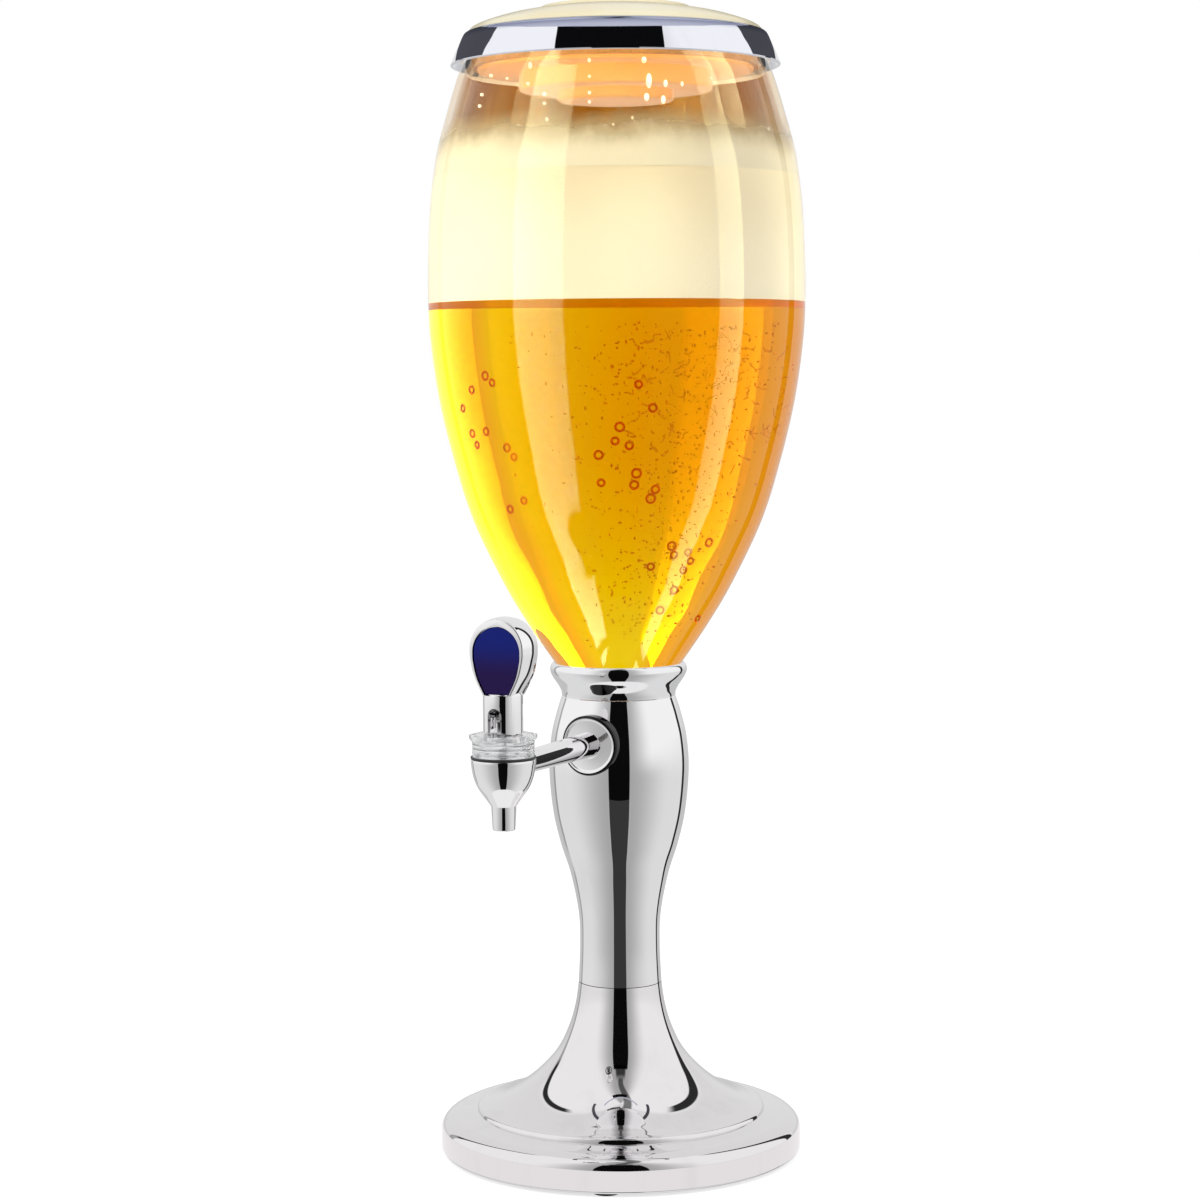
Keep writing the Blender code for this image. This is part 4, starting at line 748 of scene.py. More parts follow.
# Splashes. A thin brown layer lines the inside of the wall under the lid, strongest on the far side: painted
# reflection and shade for the brown seen through the headspace. Froth clings to the wall in a ragged veil
# just above the head.
film_bottom = 0.4525
film_top = 0.4900
film_sink = 0.0002
film_thickness = 0.0002
# Painted reflection and shade: tones of the brown layer under the lid.
film_painted_tones = ((1.0, 1.0, 0.98), (0.68, 0.43, 0.15))
film_painted_brown = (0.33, 0.14, 0.015)
veil_bottom = 0.4440
veil_top = 0.4750
veil_sink = 0.0005
veil_tones = ((0.73, 0.67, 0.57), (0.44, 0.34, 0.21))


def skin_piece(name, low, high, sink, look):
    """A thin layer on the inside of the barrel's wall between two heights."""
    outer = filling(low, high, -sink, 24)
    inner = [(radius - film_thickness, height) for radius, height in outer]
    return turned(name, outer + inner[::-1], look, around=160)


film_look, film_tree, film_shader = plain_shader(
    "headspace painted reflection", Transmission_Weight=1.0, IOR=1.01, Roughness=0.08
)
film_places = object_places(film_tree)
film_parts = parted(film_tree, film_places)
film_runs = add(film_tree, "Mapping", Vector=film_places, Scale=(1.0, 1.0, 0.12)).outputs["Vector"]
# Painted reflection and shade: brown strongest on the wall's far side from the camera and higher up, in runs.
film_painted_mask = product(
    film_tree,
    mapped(film_tree, leaning(film_tree, film_parts, -0.42, 0.91), -0.045, 0.020, 0.15),
    mapped(film_tree, film_parts["Z"], 0.450, 0.468, 0.50),
    mapped(film_tree, noise_in(film_tree, film_runs, 42.0), 0.32, 0.66, 0.74),
)
film_tone = blended(film_tree, mapped(film_tree, film_painted_mask, 0.0, 0.55), *film_painted_tones)
film_tone = blended(film_tree, mapped(film_tree, film_painted_mask, 0.45, 1.0), film_tone, film_painted_brown)
feed(film_tree, film_shader, Base_Color=film_tone)
film = skin_piece("headspace_painted_reflection", film_bottom, film_top, film_sink, film_look)
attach(film, "stand")

veil_look, veil_tree, veil_shader = plain_shader("foam veil", Roughness=0.8, Specular_IOR_Level=0.1)
veil_places = object_places(veil_tree)
veil_rags = product(veil_tree, noise_in(veil_tree, veil_places, 28.0, 6.0, 0.62), 0.016)
veil_height = worked(veil_tree, "ADD", parted(veil_tree, veil_places)["Z"], veil_rags)
veil_tone = blended(veil_tree, mapped(veil_tree, veil_height, 0.4560, 0.4740), *veil_tones)
veil_cover = mapped(veil_tree, veil_height, 0.4600, 0.4780, 0.97, 0.0)
feed(veil_tree, veil_shader, Base_Color=veil_tone, Alpha=veil_cover)
veil = skin_piece("foam_veil", veil_bottom, veil_top, veil_sink, veil_look)
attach(veil, "stand")

# Bubbles. Gas that comes out of the beer clings to the wall as large bubbles, each drawn as a dark red-orange
# ring lying on the wall, painted shade for the dark rim a bubble shows in the beer, and as hundreds of small
# specks and threads of froth, most to the tap's right.
ring_places_mm = (
    (-62, 350), (-66, 342), (-56, 356), (-53, 353), (-62, 331), (-56, 332), (-60, 326), (-47, 325),
    (-44, 321), (-46, 298), (-40, 302), (9, 352), (15, 342), (1, 334), (-1, 328), (5, 326),
    (-8, 322), (8, 314), (7, 309), (16, 307), (14, 303), (-7, 310), (23, 282), (24, 278),
    (30, 279), (31, 275), (28, 271), (39, 283), (14, 273), (24, 262), (18, 253), (34, 248),
)
wall_middle = math.radians(-65.0)
ring_size = 0.00165
ring_wire = 0.00054
ring_off_wall = 0.0010
ring_painted_rim_tones = ((0.60, 0.07, 0.01), (0.80, 0.17, 0.01))
speck_count = 1150
speck_band = (0.236, 0.142)
speck_spread = 0.026
speck_fan = (0.15, 0.20)
speck_size = (0.00026, 0.00036)
speck_off_wall = 0.0007
speck_tones = ((0.60, 0.20, 0.01), (0.85, 0.36, 0.03))
thread_count = 75
thread_band = (0.316, 0.058)
thread_side = (0.006, 0.066)
thread_step = 0.00055
thread_bead = 0.00034
bubble_seed = 7


def on_wall(side, height, gap):
    """A point and its outward direction on the inside of the wall, a side step off the middle of the view."""
    reach = inside_radius(height, filling_gap) - gap
    turn = wall_middle + math.asin(max(-0.98, min(0.98, side / reach)))
    outward = Vector((math.cos(turn), math.sin(turn), 0.0))
    return outward * reach + Vector((0.0, 0.0, height)), outward


def bead_into(form, middle, radius, detail, stretch=(1.0, 1.0, 1.0)):
    """Adds a small ball, longer along some axis where it is stretched, to a bmesh."""
    made = bmesh.ops.create_icosphere(form, subdivisions=detail, radius=radius)["verts"]
    bmesh.ops.scale(form, vec=stretch, verts=made)
    bmesh.ops.translate(form, verts=made, vec=middle)


def ring_into(form, middle, outward, size, wire):
    """Adds a ring that lies against the wall to a bmesh."""
    across = Vector((0.0, 0.0, 1.0)).cross(outward).normalized()
    up = outward.cross(across)
    hoops = []
    for along, aside in circle(1.0, 24):
        spoke = across * along + up * aside
        section = [middle + spoke * (size + x) + outward * z for x, z in circle(wire, 8)]
        hoops.append(loop_into(form, section))
    join_loops(form, hoops)


def froth_painted_glow_look(name, dark, light, glow):
    """The burnt orange of small bubbles seen through beer, with a painted glow though they are no lamp."""
    # Painted glow: the emission lets the bubbles glow.
    look, tree, shader = plain_shader(name, Roughness=0.35, Emission_Color=light, Emission_Strength=glow)
    clouds = noise_in(tree, object_places(tree), 180.0, 2.0)
    feed(tree, shader, Base_Color=blended(tree, clouds, dark, light))
    return look


chance = random.Random(bubble_seed)
bubble_form = bmesh.new()
for side, height in ring_places_mm:
    spot, outward = on_wall(side / 1000, height / 1000, ring_off_wall)
    ring_into(bubble_form, spot, outward, ring_size * (0.85 + 0.3 * chance.random()), ring_wire)
bubbles = as_piece("bubbles", bubble_form, froth_painted_glow_look("bubble rings", *ring_painted_rim_tones, 0.08), 80.0)
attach(bubbles, "stand")

speck_form = bmesh.new()
for number in range(speck_count):
    height = speck_band[0] + speck_band[1] * chance.random() ** 0.7
    side = chance.gauss(speck_spread, speck_spread) * (height - speck_fan[0]) / speck_fan[1]
    spot = on_wall(side, height, speck_off_wall)[0]
    size = speck_size[0] + speck_size[1] * chance.random() ** 2
    stretch = 1.0 + 1.2 * chance.random()
    bead_into(speck_form, spot, size, 1, (stretch, stretch, 1.0) if number % 2 else (1.0, 1.0, stretch))
for number in range(thread_count):
    height = thread_band[0] + thread_band[1] * chance.random()
    side = thread_side[0] + thread_side[1] * chance.random()
    heading = math.tau * chance.random()
    for step in range(9):
        heading += chance.gauss(0.0, 0.55)
        side += thread_step * math.cos(heading)
        height += thread_step * math.sin(heading)
        bead_into(speck_form, on_wall(side, height, speck_off_wall)[0], thread_bead, 1)
specks = as_piece("bubble_specks", speck_form, froth_painted_glow_look("bubble specks", *speck_tones, 0.09), 80.0)
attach(specks, "stand")

# Tap body. One zinc casting, chrome plated: spout, bowl, threaded neck and arm. The arm's shank goes
# through the column into the outlet cup. A spun disc round it hides the hole.
tap_middle = (0.0, -0.1150)
tap_front = (0.0, tap_middle[1], 0.0)
spout_bottom = 0.1650
spout_top = 0.1751
spout_tip_radius = 0.0048
spout_radius = 0.00535
spout_bore = 0.0036
spout_edge = 0.0003
bore_edge = 0.0002
bowl_radius = 0.01375
bowl_top = 0.1954
bowl_rim = 0.0018
bowl_edge = 0.0004
bowl_shares = ((0.30, 0.20), (0.67, 0.44), (0.89, 0.70))
tap_neck_radius = 0.0108
tap_neck_top = 0.2030
neck_thread_turns = 3
neck_thread_first = 0.0016
neck_thread_pitch = 0.0020
neck_thread_depth = 0.0008
neck_thread_flank = 0.0006
chamber_radius = 0.0080
seat_height = 0.1815
seat_rise = 0.0040
arm_tip_radius = 0.0047
arm_root_radius = 0.0057
arm_bore = 0.0019
arm_lift = 0.0004
arm_sink = 0.0030
arm_overlap = 0.0022
arm_fillet = ((0.0060, 0.0001), (0.0035, 0.0003), (0.0018, 0.0009), (0.0, 0.0018))
shank_end = 0.0133
shank_radius = 0.0040
escutcheon_radius = 0.0135
escutcheon_front = 0.0030
escutcheon_bend = 12.0
escutcheon_edge = 0.0009
escutcheon_groove = (0.0110, 0.0001)
escutcheon_groove_rise = 0.0011
escutcheon_dish = 0.0010
escutcheon_gap = 0.0003
escutcheon_rings = (0.0072, 0.0090, 0.0110)
# Painted shade and reflection: the near black of the disc's rounded rim.
escutcheon_rim_painted_shade = (0.03, 0.03, 0.03)

bowl_low = (spout_radius, spout_top)
bowl_high = (bowl_radius, bowl_top - bowl_rim)
neck_thread = []
for turn in range(neck_thread_turns):
    root = bowl_top + neck_thread_first + neck_thread_pitch * turn
    for depth, rise in ((neck_thread_depth, 0), (0.0, 1), (0.0, 2), (neck_thread_depth, 3)):
        neck_thread.append((tap_neck_radius - depth, root + neck_thread_flank * rise))
tap_outline = (
    [(spout_bore, spout_bottom + bore_edge), (spout_bore + bore_edge, spout_bottom)]
    + [(spout_tip_radius - spout_edge, spout_bottom), (spout_tip_radius, spout_bottom + spout_edge)]
    + flowing([bowl_low, *placed(bowl_shares, bowl_low, bowl_high), bowl_high], 8)
    + arc((bowl_radius - bowl_edge, bowl_top - bowl_edge), bowl_edge, 0, 90, 4)
    + [(tap_neck_radius, bowl_top)]
    + neck_thread
    + [(tap_neck_radius - bowl_edge, tap_neck_top), (chamber_radius, tap_neck_top)]
    + [(chamber_radius, seat_height + seat_rise), (spout_bore + seat_rise, seat_height + seat_rise)]
    + [(spout_bore, seat_height)]
)
tap_form = bmesh.new()
spin_into(tap_form, tap_outline, 96, tap_middle)
column_front = radius_at(column_skin, arm_height)
arm_start = column_front - arm_sink
arm_end = -tap_middle[1] - bowl_radius + arm_overlap
arm_outline = [(shank_end, shank_radius), (arm_start, shank_radius), (arm_start, arm_root_radius)]
arm_outline += [(arm_end - back, arm_tip_radius + flare) for back, flare in arm_fillet]
arm_outline += [(arm_end, arm_bore), (shank_end, arm_bore)]
arm_rings = []
for place, radius in arm_outline:
    spots = [(x, -place, z) for x, z in circle(radius, 48, 0.0, arm_height + arm_lift)]
    arm_rings.append(loop_into(tap_form, spots))
join_loops(tap_form, arm_rings)
tap = as_piece("tap_casting", tap_form, chrome("tap chrome", waviness=0.012))
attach(tap, "stand")
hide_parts("tap_body")

disc_front = column_front + escutcheon_front
disc_bore = arm_root_radius + escutcheon_gap
disc_groove = (escutcheon_groove[0], disc_front + escutcheon_groove[1])
disc_outline = (
    arc((escutcheon_radius - escutcheon_edge, disc_front - escutcheon_edge), escutcheon_edge, 0, 90, 8)
    + [(escutcheon_radius - 1.3 * escutcheon_edge, disc_front)]
    + arc(disc_groove, escutcheon_edge, -15, -90, 8, escutcheon_groove_rise)
    + [(disc_bore, disc_front - escutcheon_dish)]
)
disc_form = bmesh.new()
disc_rings = []
for radius, place in disc_outline:
    spots = [(x, escutcheon_bend * x**2 - place, z) for x, z in circle(radius, 96, 0.0, arm_height)]
    disc_rings.append(loop_into(disc_form, spots))
for radius in (disc_bore, *escutcheon_rings, escutcheon_radius):
    spots = []
    for x, z in circle(radius, 96, 0.0, arm_height):
        reach = radius_at(column_skin, z) + escutcheon_gap
        spots.append((x, -math.sqrt(reach**2 - x**2), z))
    disc_rings.append(loop_into(disc_form, spots))
join_loops(disc_form, disc_rings)
escutcheon = as_piece("escutcheon", disc_form, chrome("escutcheon chrome"))
# Painted shade and reflection: the disc's rounded rim is painted near black, standing in for the dark line it
# shows round its edge.
escutcheon.data.materials.append(chrome("escutcheon rim painted shade", escutcheon_rim_painted_shade))
for face in escutcheon.data.polygons:
    off = math.hypot(face.center.x, face.center.z - arm_height)
    if off > escutcheon_radius - 1.28 * escutcheon_edge:
        face.material_index = 1
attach(escutcheon, "stand")
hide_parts("tap_escutcheon")

# Bonnet. A clear moulded nut screws on the tap's neck over a black gasket and keeps the valve in.
# Its skirt is round and its top flares to a hexagon with a bevelled edge.
bonnet_bottom = 0.1965
bonnet_roof = 0.2033
bonnet_top = 0.2058
bonnet_bore = 0.0120
bonnet_skirt = 0.0131
bonnet_band = 0.0022
bonnet_corner = 0.0144
bonnet_edge = 0.0016
bonnet_flare = 0.0018
bonnet_bevel = (0.0005, 0.0003)
bonnet_hole = 0.0027
bonnet_recess = (0.0077, 0.0010)
bonnet_dish = 0.0080
bonnet_threads = ((0.0012, 0.0), (0.0018, 0.0007), (0.0024, 0.0), (0.0036, 0.0007), (0.0042, 0.0))
bonnet_around = 96
bonnet_tint = (0.90, 0.91, 0.92)
gasket_radius = 0.0138
gasket_gap = 0.0002
gasket_top = 0.0009
gasket_clearance = 0.0003
gasket_colour = (0.02, 0.02, 0.02)


def bonnet_loop(form, radius, height, hexed):
    """One loop of the bonnet, round or partly drawn out to a hexagon."""
    spots = []
    sixth = math.tau / 6
    for step in range(bonnet_around):
        turn = math.tau * step / bonnet_around
        flat = bonnet_corner * math.sqrt(3) / 2 / math.cos(turn % sixth - sixth / 2)
        reach = radius + (flat - radius) * hexed
        heading = turn + math.pi / 2
        spots.append((reach * math.cos(heading), tap_middle[1] + reach * math.sin(heading), height))
    return loop_into(form, spots)


bonnet_form = bmesh.new()
bonnet_edge_low = bonnet_top - bonnet_edge
bonnet_places = [
    (bonnet_bore, bonnet_bottom, 0.0),
    (bonnet_skirt, bonnet_bottom, 0.0),
    (bonnet_skirt, bonnet_bottom + bonnet_band, 0.0),
    (bonnet_skirt, bonnet_edge_low - bonnet_flare, 0.0),
    (bonnet_skirt + 0.0002, bonnet_edge_low - bonnet_flare * 0.6, 0.25),
    (bonnet_skirt + 0.0004, bonnet_edge_low - bonnet_flare * 0.2, 0.75),
    (bonnet_skirt, bonnet_edge_low, 1.0),
    (bonnet_skirt, bonnet_top - bonnet_bevel[1], 1.0),
    (bonnet_skirt - bonnet_bevel[0], bonnet_top, 0.85),
    (bonnet_dish, bonnet_top, 0.0),
    (bonnet_hole, bonnet_top, 0.0),
    (bonnet_hole, bonnet_roof + bonnet_recess[1], 0.0),
    (bonnet_recess[0], bonnet_roof + bonnet_recess[1], 0.0),
    (bonnet_recess[0], bonnet_roof, 0.0),
    (bonnet_bore, bonnet_roof, 0.0),
]
bonnet_places += [(bonnet_bore - depth, bonnet_roof - drop, 0.0) for drop, depth in bonnet_threads]
join_loops(bonnet_form, [bonnet_loop(bonnet_form, *place) for place in bonnet_places])
bonnet_look = clear_plastic("bonnet clear", bonnet_tint, 0.14, shine=0.6, frost=0.22)
bonnet = as_piece("bonnet", bonnet_form, bonnet_look)
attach(bonnet, "stand")
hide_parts("tap_bonnet")

gasket_rubber = grainy("gasket rubber", gasket_colour, 1000.0, 0.1, 0.4, 0.6)
gasket_bore = tap_neck_radius + gasket_clearance
gasket_low = bowl_top + gasket_gap
gasket_high = bowl_top + gasket_top
gasket = turned(
    "gasket",
    [(gasket_bore, gasket_low), (gasket_radius, gasket_low)]
    + [(gasket_radius, gasket_high), (gasket_bore, gasket_high)],
    gasket_rubber,
    around=96,
    middle=tap_middle,
)
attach(gasket, "stand")
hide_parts("bonnet_gasket")

# Valve. A turned stainless stem with a round head, a piston ring and a soft silicone plug. The
# spring under the bonnet's roof keeps the plug on its seat.
steel_tones = ((0.62, 0.62, 0.63), (0.52, 0.52, 0.53))


def bare_steel(name):
    """Turned stainless steel with fine tool rings."""
    look, tree, shader = plain_shader(name, Metallic=1.0)
    rings = add(tree, "TexWave", Vector=object_places(tree), Scale=900.0, Distortion=1.5)
    rings.bands_direction = "Z"
    shade = rings.outputs["Fac"]
    roughness = mapped(tree, shade, 0.0, 1.0, 0.16, 0.30)
    feed(tree, shader, Base_Color=blended(tree, shade, *steel_tones), Roughness=roughness)
    return look


dress("valve_stem", bare_steel("stem steel"))
dress("valve_spring", bare_steel("spring wire"))
dress("lever_pin", bare_steel("pin steel"))
dress("stem_o_ring", gasket_rubber)
dress("valve_plug", silicone("plug silicone"))

# Lever. Hub and paddle are one chrome plated moulding. The hub is hollow, with a slot in front for
# the stem's head, which the pin crosses. A plain blue insert is glued in the paddle's face, painted lighter
# towards its top as painted shade.
pin_height = 0.2136
pin_rise = 0.0075
pin_hole = 0.0015
pin_half = 0.0079
cam_lift = 0.0038
cam_steps = 14
cam_relief = 0.0020
cam_half = 0.0105
cam_top = 0.040
tilt_limit = math.radians(32.0)
hub_radius = 0.00845
hub_height = 0.0161
hub_dome = 0.0040
hub_edge = 0.0003
hub_bore = 0.0065
hub_bore_rise = 0.0052
slot_half = 0.0032
slot_rise = 0.0036
cut_overrun = 0.0020
paddle_height = 0.0323
paddle_half = 0.0127
paddle_foot_half = 0.0066
paddle_side_shares = ((0.0, 0.0), (0.41, 0.66), (0.79, 0.965), (1.0, 1.0))
paddle_thickness = 0.0165
paddle_front = 0.0062
paddle_back_round = 0.0034
paddle_face_round = 0.0008
paddle_side_crown = 0.0007
insert_border = 0.0016
insert_edge = 0.0003
insert_drop = 0.0013
insert_depth = 0.0015
insert_sink = 0.0005
insert_shaded_blues = ((0.017, 0.006, 0.070), (0.006, 0.014, 0.185))


def paddle_outline(border):
    """The paddle's face from its foot, drawn in by a border: an egg cut off below."""
    lower = paddle_height - paddle_half
    flare = paddle_half - paddle_foot_half
    side = [(paddle_foot_half + flare * x, lower * z) for z, x in paddle_side_shares]
    right = flowing(side, 8)
    crown = arc((0.0, lower), paddle_half, 0, 180, 48)[1:-1]
    loop = right + crown + [(-x, z) for x, z in right[::-1]]
    drawn_in = []
    for index, spot in enumerate(loop):
        here = Vector(spot)
        first = (here - Vector(loop[index - 1])).normalized()
        second = (Vector(loop[(index + 1) % len(loop)]) - here).normalized()
        inward = Vector((-first.y - second.y, first.x + second.x)).normalized()
        reach = border / max(inward.dot(Vector((-first.y, first.x))), 0.5)
        drawn_in.append(tuple(here + inward * reach))
    return drawn_in


def paddle_loft(name, places, look):
    """A form of the paddle's shape, from loops of a border, a depth behind the face and a drop."""
    form = bmesh.new()
    loops = []
    for border, depth, drop in places:
        foot = pin_height + hub_height - pin_rise - drop
        back = tap_middle[1] + depth - paddle_front
        loops.append(loop_into(form, [(x, back, foot + z) for x, z in paddle_outline(border)]))
    join_loops(form, loops, closed=False)
    form.faces.new(loops[0][::-1])
    form.faces.new(loops[-1])
    return as_piece(name, form, look)


def rounded(size, step):
    """How far a rounded edge is drawn in and down at a step in degrees."""
    angle = math.radians(step)
    return size * (1 - math.sin(angle)), size * (1 - math.cos(angle))


lever_look = chrome("lever chrome", waviness=0.012)
hub_bottom = pin_height - pin_rise
hub_top = hub_bottom + hub_height
hub_outline = [(0.0, hub_bottom), (hub_radius - hub_edge, hub_bottom), (hub_radius, hub_bottom + hub_edge)]
hub_outline += arc((0.0, hub_top), hub_radius, 0, 90, 12, hub_dome)
hub_outline[-1] = (0.0, hub_outline[-1][1])
lever = turned("lever", hub_outline, lever_look, around=96, middle=tap_middle)
cam_side = [(cam_half, hub_bottom)]
for step in range(cam_steps + 1):
    tilt = tilt_limit * step / cam_steps
    drop = pin_rise + cam_lift * tilt
    forward = drop * math.sin(tilt) + cam_lift * math.cos(tilt)
    cam_side.append((-forward, pin_height - drop * math.cos(tilt) + cam_lift * math.sin(tilt)))
cam_end = (cam_side[-1][0] - cam_relief, cam_side[-1][1] + cam_relief * math.tan(tilt_limit))
cam_side += [cam_end, (cam_end[0], hub_top + cam_top), (cam_half, hub_top + cam_top)]
cam_space = cutter("cam_space", cam_side, -cam_half, cam_half, tap_front, axis="X")
carve(lever, cam_space, operation="INTERSECT")
face_round = [rounded(paddle_face_round, step) for step in range(0, 91, 18)]
back_round = [rounded(paddle_back_round, step)[::-1] for step in range(0, 91, 15)]
back_round = [(inset, paddle_thickness - short) for inset, short in back_round]
paddle_middle = (paddle_thickness - paddle_back_round + paddle_face_round) / 2
paddle_reach = paddle_middle - paddle_face_round
side_round = []
for step in range(1, 12):
    place = step / 6 - 1
    side_round.append((-paddle_side_crown * (1 - place**2), paddle_middle + paddle_reach * place))
paddle_places = [(border, depth, 0.0) for border, depth in face_round + side_round + back_round]
carve(lever, paddle_loft("paddle", paddle_places, lever_look), operation="UNION")
pocket_depths = (-cut_overrun, insert_depth + insert_edge)
pocket_places = [(insert_border, depth, insert_drop) for depth in pocket_depths]
pocket = paddle_loft("insert_pocket", pocket_places, lever_look)
cut_bottom = hub_bottom - cut_overrun
hollow_top = pin_height + hub_bore_rise
hollow = turned(
    "hub_hollow",
    [(0.0, cut_bottom), (hub_bore, cut_bottom), (hub_bore, hollow_top), (0.0, hollow_top)],
    lever_look,
    around=64,
    middle=tap_middle,
)
slot_outline = [(-slot_half, cut_bottom), (slot_half, cut_bottom)]
slot_outline += arc((0.0, pin_height + slot_rise - slot_half), slot_half, 0, 180, 24)
slot_tool = cutter("hub_slot", slot_outline, -hub_radius - cut_overrun, -hub_bore / 2, tap_front)
pin_outline = circle(pin_hole, 32, tap_middle[1], pin_height)
carve(lever, pocket, hollow, slot_tool, cutter("pin_hole", pin_outline, -pin_half, pin_half, axis="X"))
lever.data.materials.clear()
lever.data.materials.append(lever_look)
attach(lever, "lever")
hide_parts("tap_lever")

insert_look, insert_tree, insert_shader = plain_shader("insert blue", Specular_IOR_Level=0.12)
insert_spots = object_places(insert_tree)
# Painted shade: the insert's blue is darker at its foot and lighter towards its top.
insert_painted_shade = mapped(insert_tree, parted(insert_tree, insert_spots)["Z"], 0.230, 0.246)
insert_grain = noise_in(insert_tree, insert_spots, 600.0)
feed(
    insert_tree,
    insert_shader,
    Base_Color=blended(insert_tree, insert_painted_shade, *insert_shaded_blues),
    Roughness=mapped(insert_tree, insert_grain, 0.3, 0.7, 0.10, 0.20),
)
insert_inner = insert_border + insert_edge
insert_places = [
    (insert_inner + insert_edge, insert_sink, insert_drop),
    (insert_inner, insert_sink + insert_edge, insert_drop),
    (insert_inner, insert_depth, insert_drop),
]
insert = paddle_loft("lever_badge_plate", insert_places, insert_look)
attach(insert, "lever")
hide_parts("lever_insert")

# Lid. A chrome plated conical band holds a shallow moulded dome with a raised round panel. Below, a
# stepped orange plug hangs in the mouth, with a silicone seal round it.
band_radius = 0.0740
band_top_radius = 0.0696
band_height = 0.0101
band_drop = 0.0040
band_wall = 0.0015
band_edge = 0.0006
band_swell = 0.0021
band_tint = (0.86, 0.87, 0.93)
bevel_width = 0.0023
bevel_rise = 0.0037
bevel_shares = ((0.45, 0.58), (0.74, 0.87), (1.0, 1.0))
# Painted reflection: the blue-grey painted on the band's top bevel.
bevel_painted_reflection = (0.34, 0.37, 0.50)
dome_wall = 0.0018
dome_skirt = 0.0666
dome_gap = 0.0003
dome_bottom = 0.4998
dome_shoulder = 0.5083
dome_shoulder_edge = (0.0003, 0.0002)
dome_rise = 0.0100
dome_disc = 0.0338
dome_disc_rise = 0.0014
dome_disc_edge = 0.0008
dome_crown = 0.0008
dome_shares = ((0.878, 0.30), (0.494, 0.70), (0.067, 0.96))
dome_tones = ((0.93, 0.86, 0.62), (0.90, 0.80, 0.54))
plug_wall = 0.0018
plug_gap = 0.0003
plug_flange = 0.0693
plug_flange_top = 0.0020
plug_steps = ((0.0620, 0.0071, 0.0010), (0.0433, 0.0082, 0.0008), (0.0262, 0.0049, 0.0020))
plug_corner_steps = (4, 4, 6)
plug_tones = ((0.98, 0.62, 0.28), (1.0, 0.70, 0.36))
plug_painted_glow = (1.0, 0.55, 0.22)

band_low = barrel_top - band_drop + band_edge
band_shoulder = (band_top_radius, band_low + band_height)
band_middle = (band_radius - band_swell, band_low + 0.5 * band_height)
band_inside = wall_inside([(band_radius, band_low), band_shoulder], band_wall)
bevel = [(band_top_radius - x * bevel_width, band_shoulder[1] + z * bevel_rise) for x, z in bevel_shares]
band_outline = (
    [(band_radius - band_edge, barrel_top - band_drop)]
    + [(band_radius - 0.2 * band_edge, band_low - 0.6 * band_edge)]
    + flowing([(band_radius, band_low), band_middle, band_shoulder], 5)
    + flowing([band_shoulder, *bevel], 5)[1:]
    + [(dome_skirt + dome_gap, band_shoulder[1] + rise) for rise in (bevel_rise, band_edge)]
    + band_inside[::-1]
)
band = turned("lid_ring", band_outline, chrome("band chrome", band_tint, waviness=0.006), around=192)
# Painted reflection: the bevel above the band is painted blue-grey, standing in for the cool grey it mirrors.
tint_upwards(band, band_shoulder[1], band_shoulder[1] + bevel_rise, bevel_painted_reflection)
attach(band, "lid")
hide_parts("lid_band")


def moulded(name, colour, deep, **values):
    """Glossy moulded plastic with a slow drift of colour and faint flow marks."""
    look, tree, shader = plain_shader(name, **values)
    places = object_places(tree)
    drift = noise_in(tree, places, 25.0, 2.0)
    feed(
        tree,
        shader,
        Base_Color=blended(tree, mapped(tree, drift, 0.35, 0.65), colour, deep),
        Roughness=mapped(tree, noise_in(tree, places, 400.0, 4.0), 0.3, 0.7, 0.2425, 0.2625),
        Normal=bumped(tree, drift, 0.05, 0.0003),
    )
    return look


dome_foot = dome_shoulder + dome_rise
dome_panel = dome_foot + dome_disc_rise
dome_low = (dome_disc, dome_shoulder)
dome_start = (dome_skirt - dome_shoulder_edge[0], dome_shoulder + dome_shoulder_edge[1])
dome_slope = [dome_start, *placed(dome_shares, dome_low, (dome_skirt, dome_foot)), (dome_disc, dome_foot)]
dome_slope = flowing(dome_slope, 8)
dome_outline = (
    [(dome_skirt, dome_bottom), (dome_skirt, dome_shoulder)]
    + dome_slope
    + arc((dome_disc - dome_disc_edge, dome_panel - dome_disc_edge), dome_disc_edge, 0, 90, 5)
    + flowing([(dome_disc / 2, dome_panel + dome_crown * 0.7), (0.0, dome_panel + dome_crown)], 4)
    + [(0.0, dome_panel - dome_wall)]
    + wall_inside(dome_slope, dome_wall)[::-1]
    + [(dome_skirt - dome_wall, dome_bottom)]
)
dome = turned("dome", dome_outline, moulded("dome plastic", *dome_tones), around=160)
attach(dome, "lid")
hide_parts("lid_dome")

plug_level = barrel_top + plug_gap
plug_outline = [(plug_flange, plug_level), (plug_flange, barrel_top + plug_flange_top)]
plug_outline += [(plug_steps[0][0] - plug_wall, barrel_top + plug_flange_top)]
plug_under = []
for number, (radius, fall, edge) in enumerate(plug_steps):
    corner = arc((radius - edge, plug_level - fall + edge), edge, -90, 0, plug_corner_steps[number])
    plug_under = corner + [(radius, plug_level)] + plug_under
    plug_level -= fall
    for inner_radius, *_ in plug_steps[number:number + 2]:
        plug_outline.append((inner_radius - plug_wall, plug_level + plug_wall))
plug_outline = [(0.0, plug_level)] + plug_under + plug_outline + [(0.0, plug_level + plug_wall)]
# Painted glow: the plug's plastic glows orange though it is no lamp.
plug_look = moulded("plug plastic", *plug_tones, Emission_Color=plug_painted_glow, Emission_Strength=0.35)
plug = turned("plug", plug_outline, plug_look, around=160)
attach(plug, "lid")
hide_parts("lid_plug")
dress("lid_seal", silicone("seal silicone", (0.85, 0.55, 0.30)))

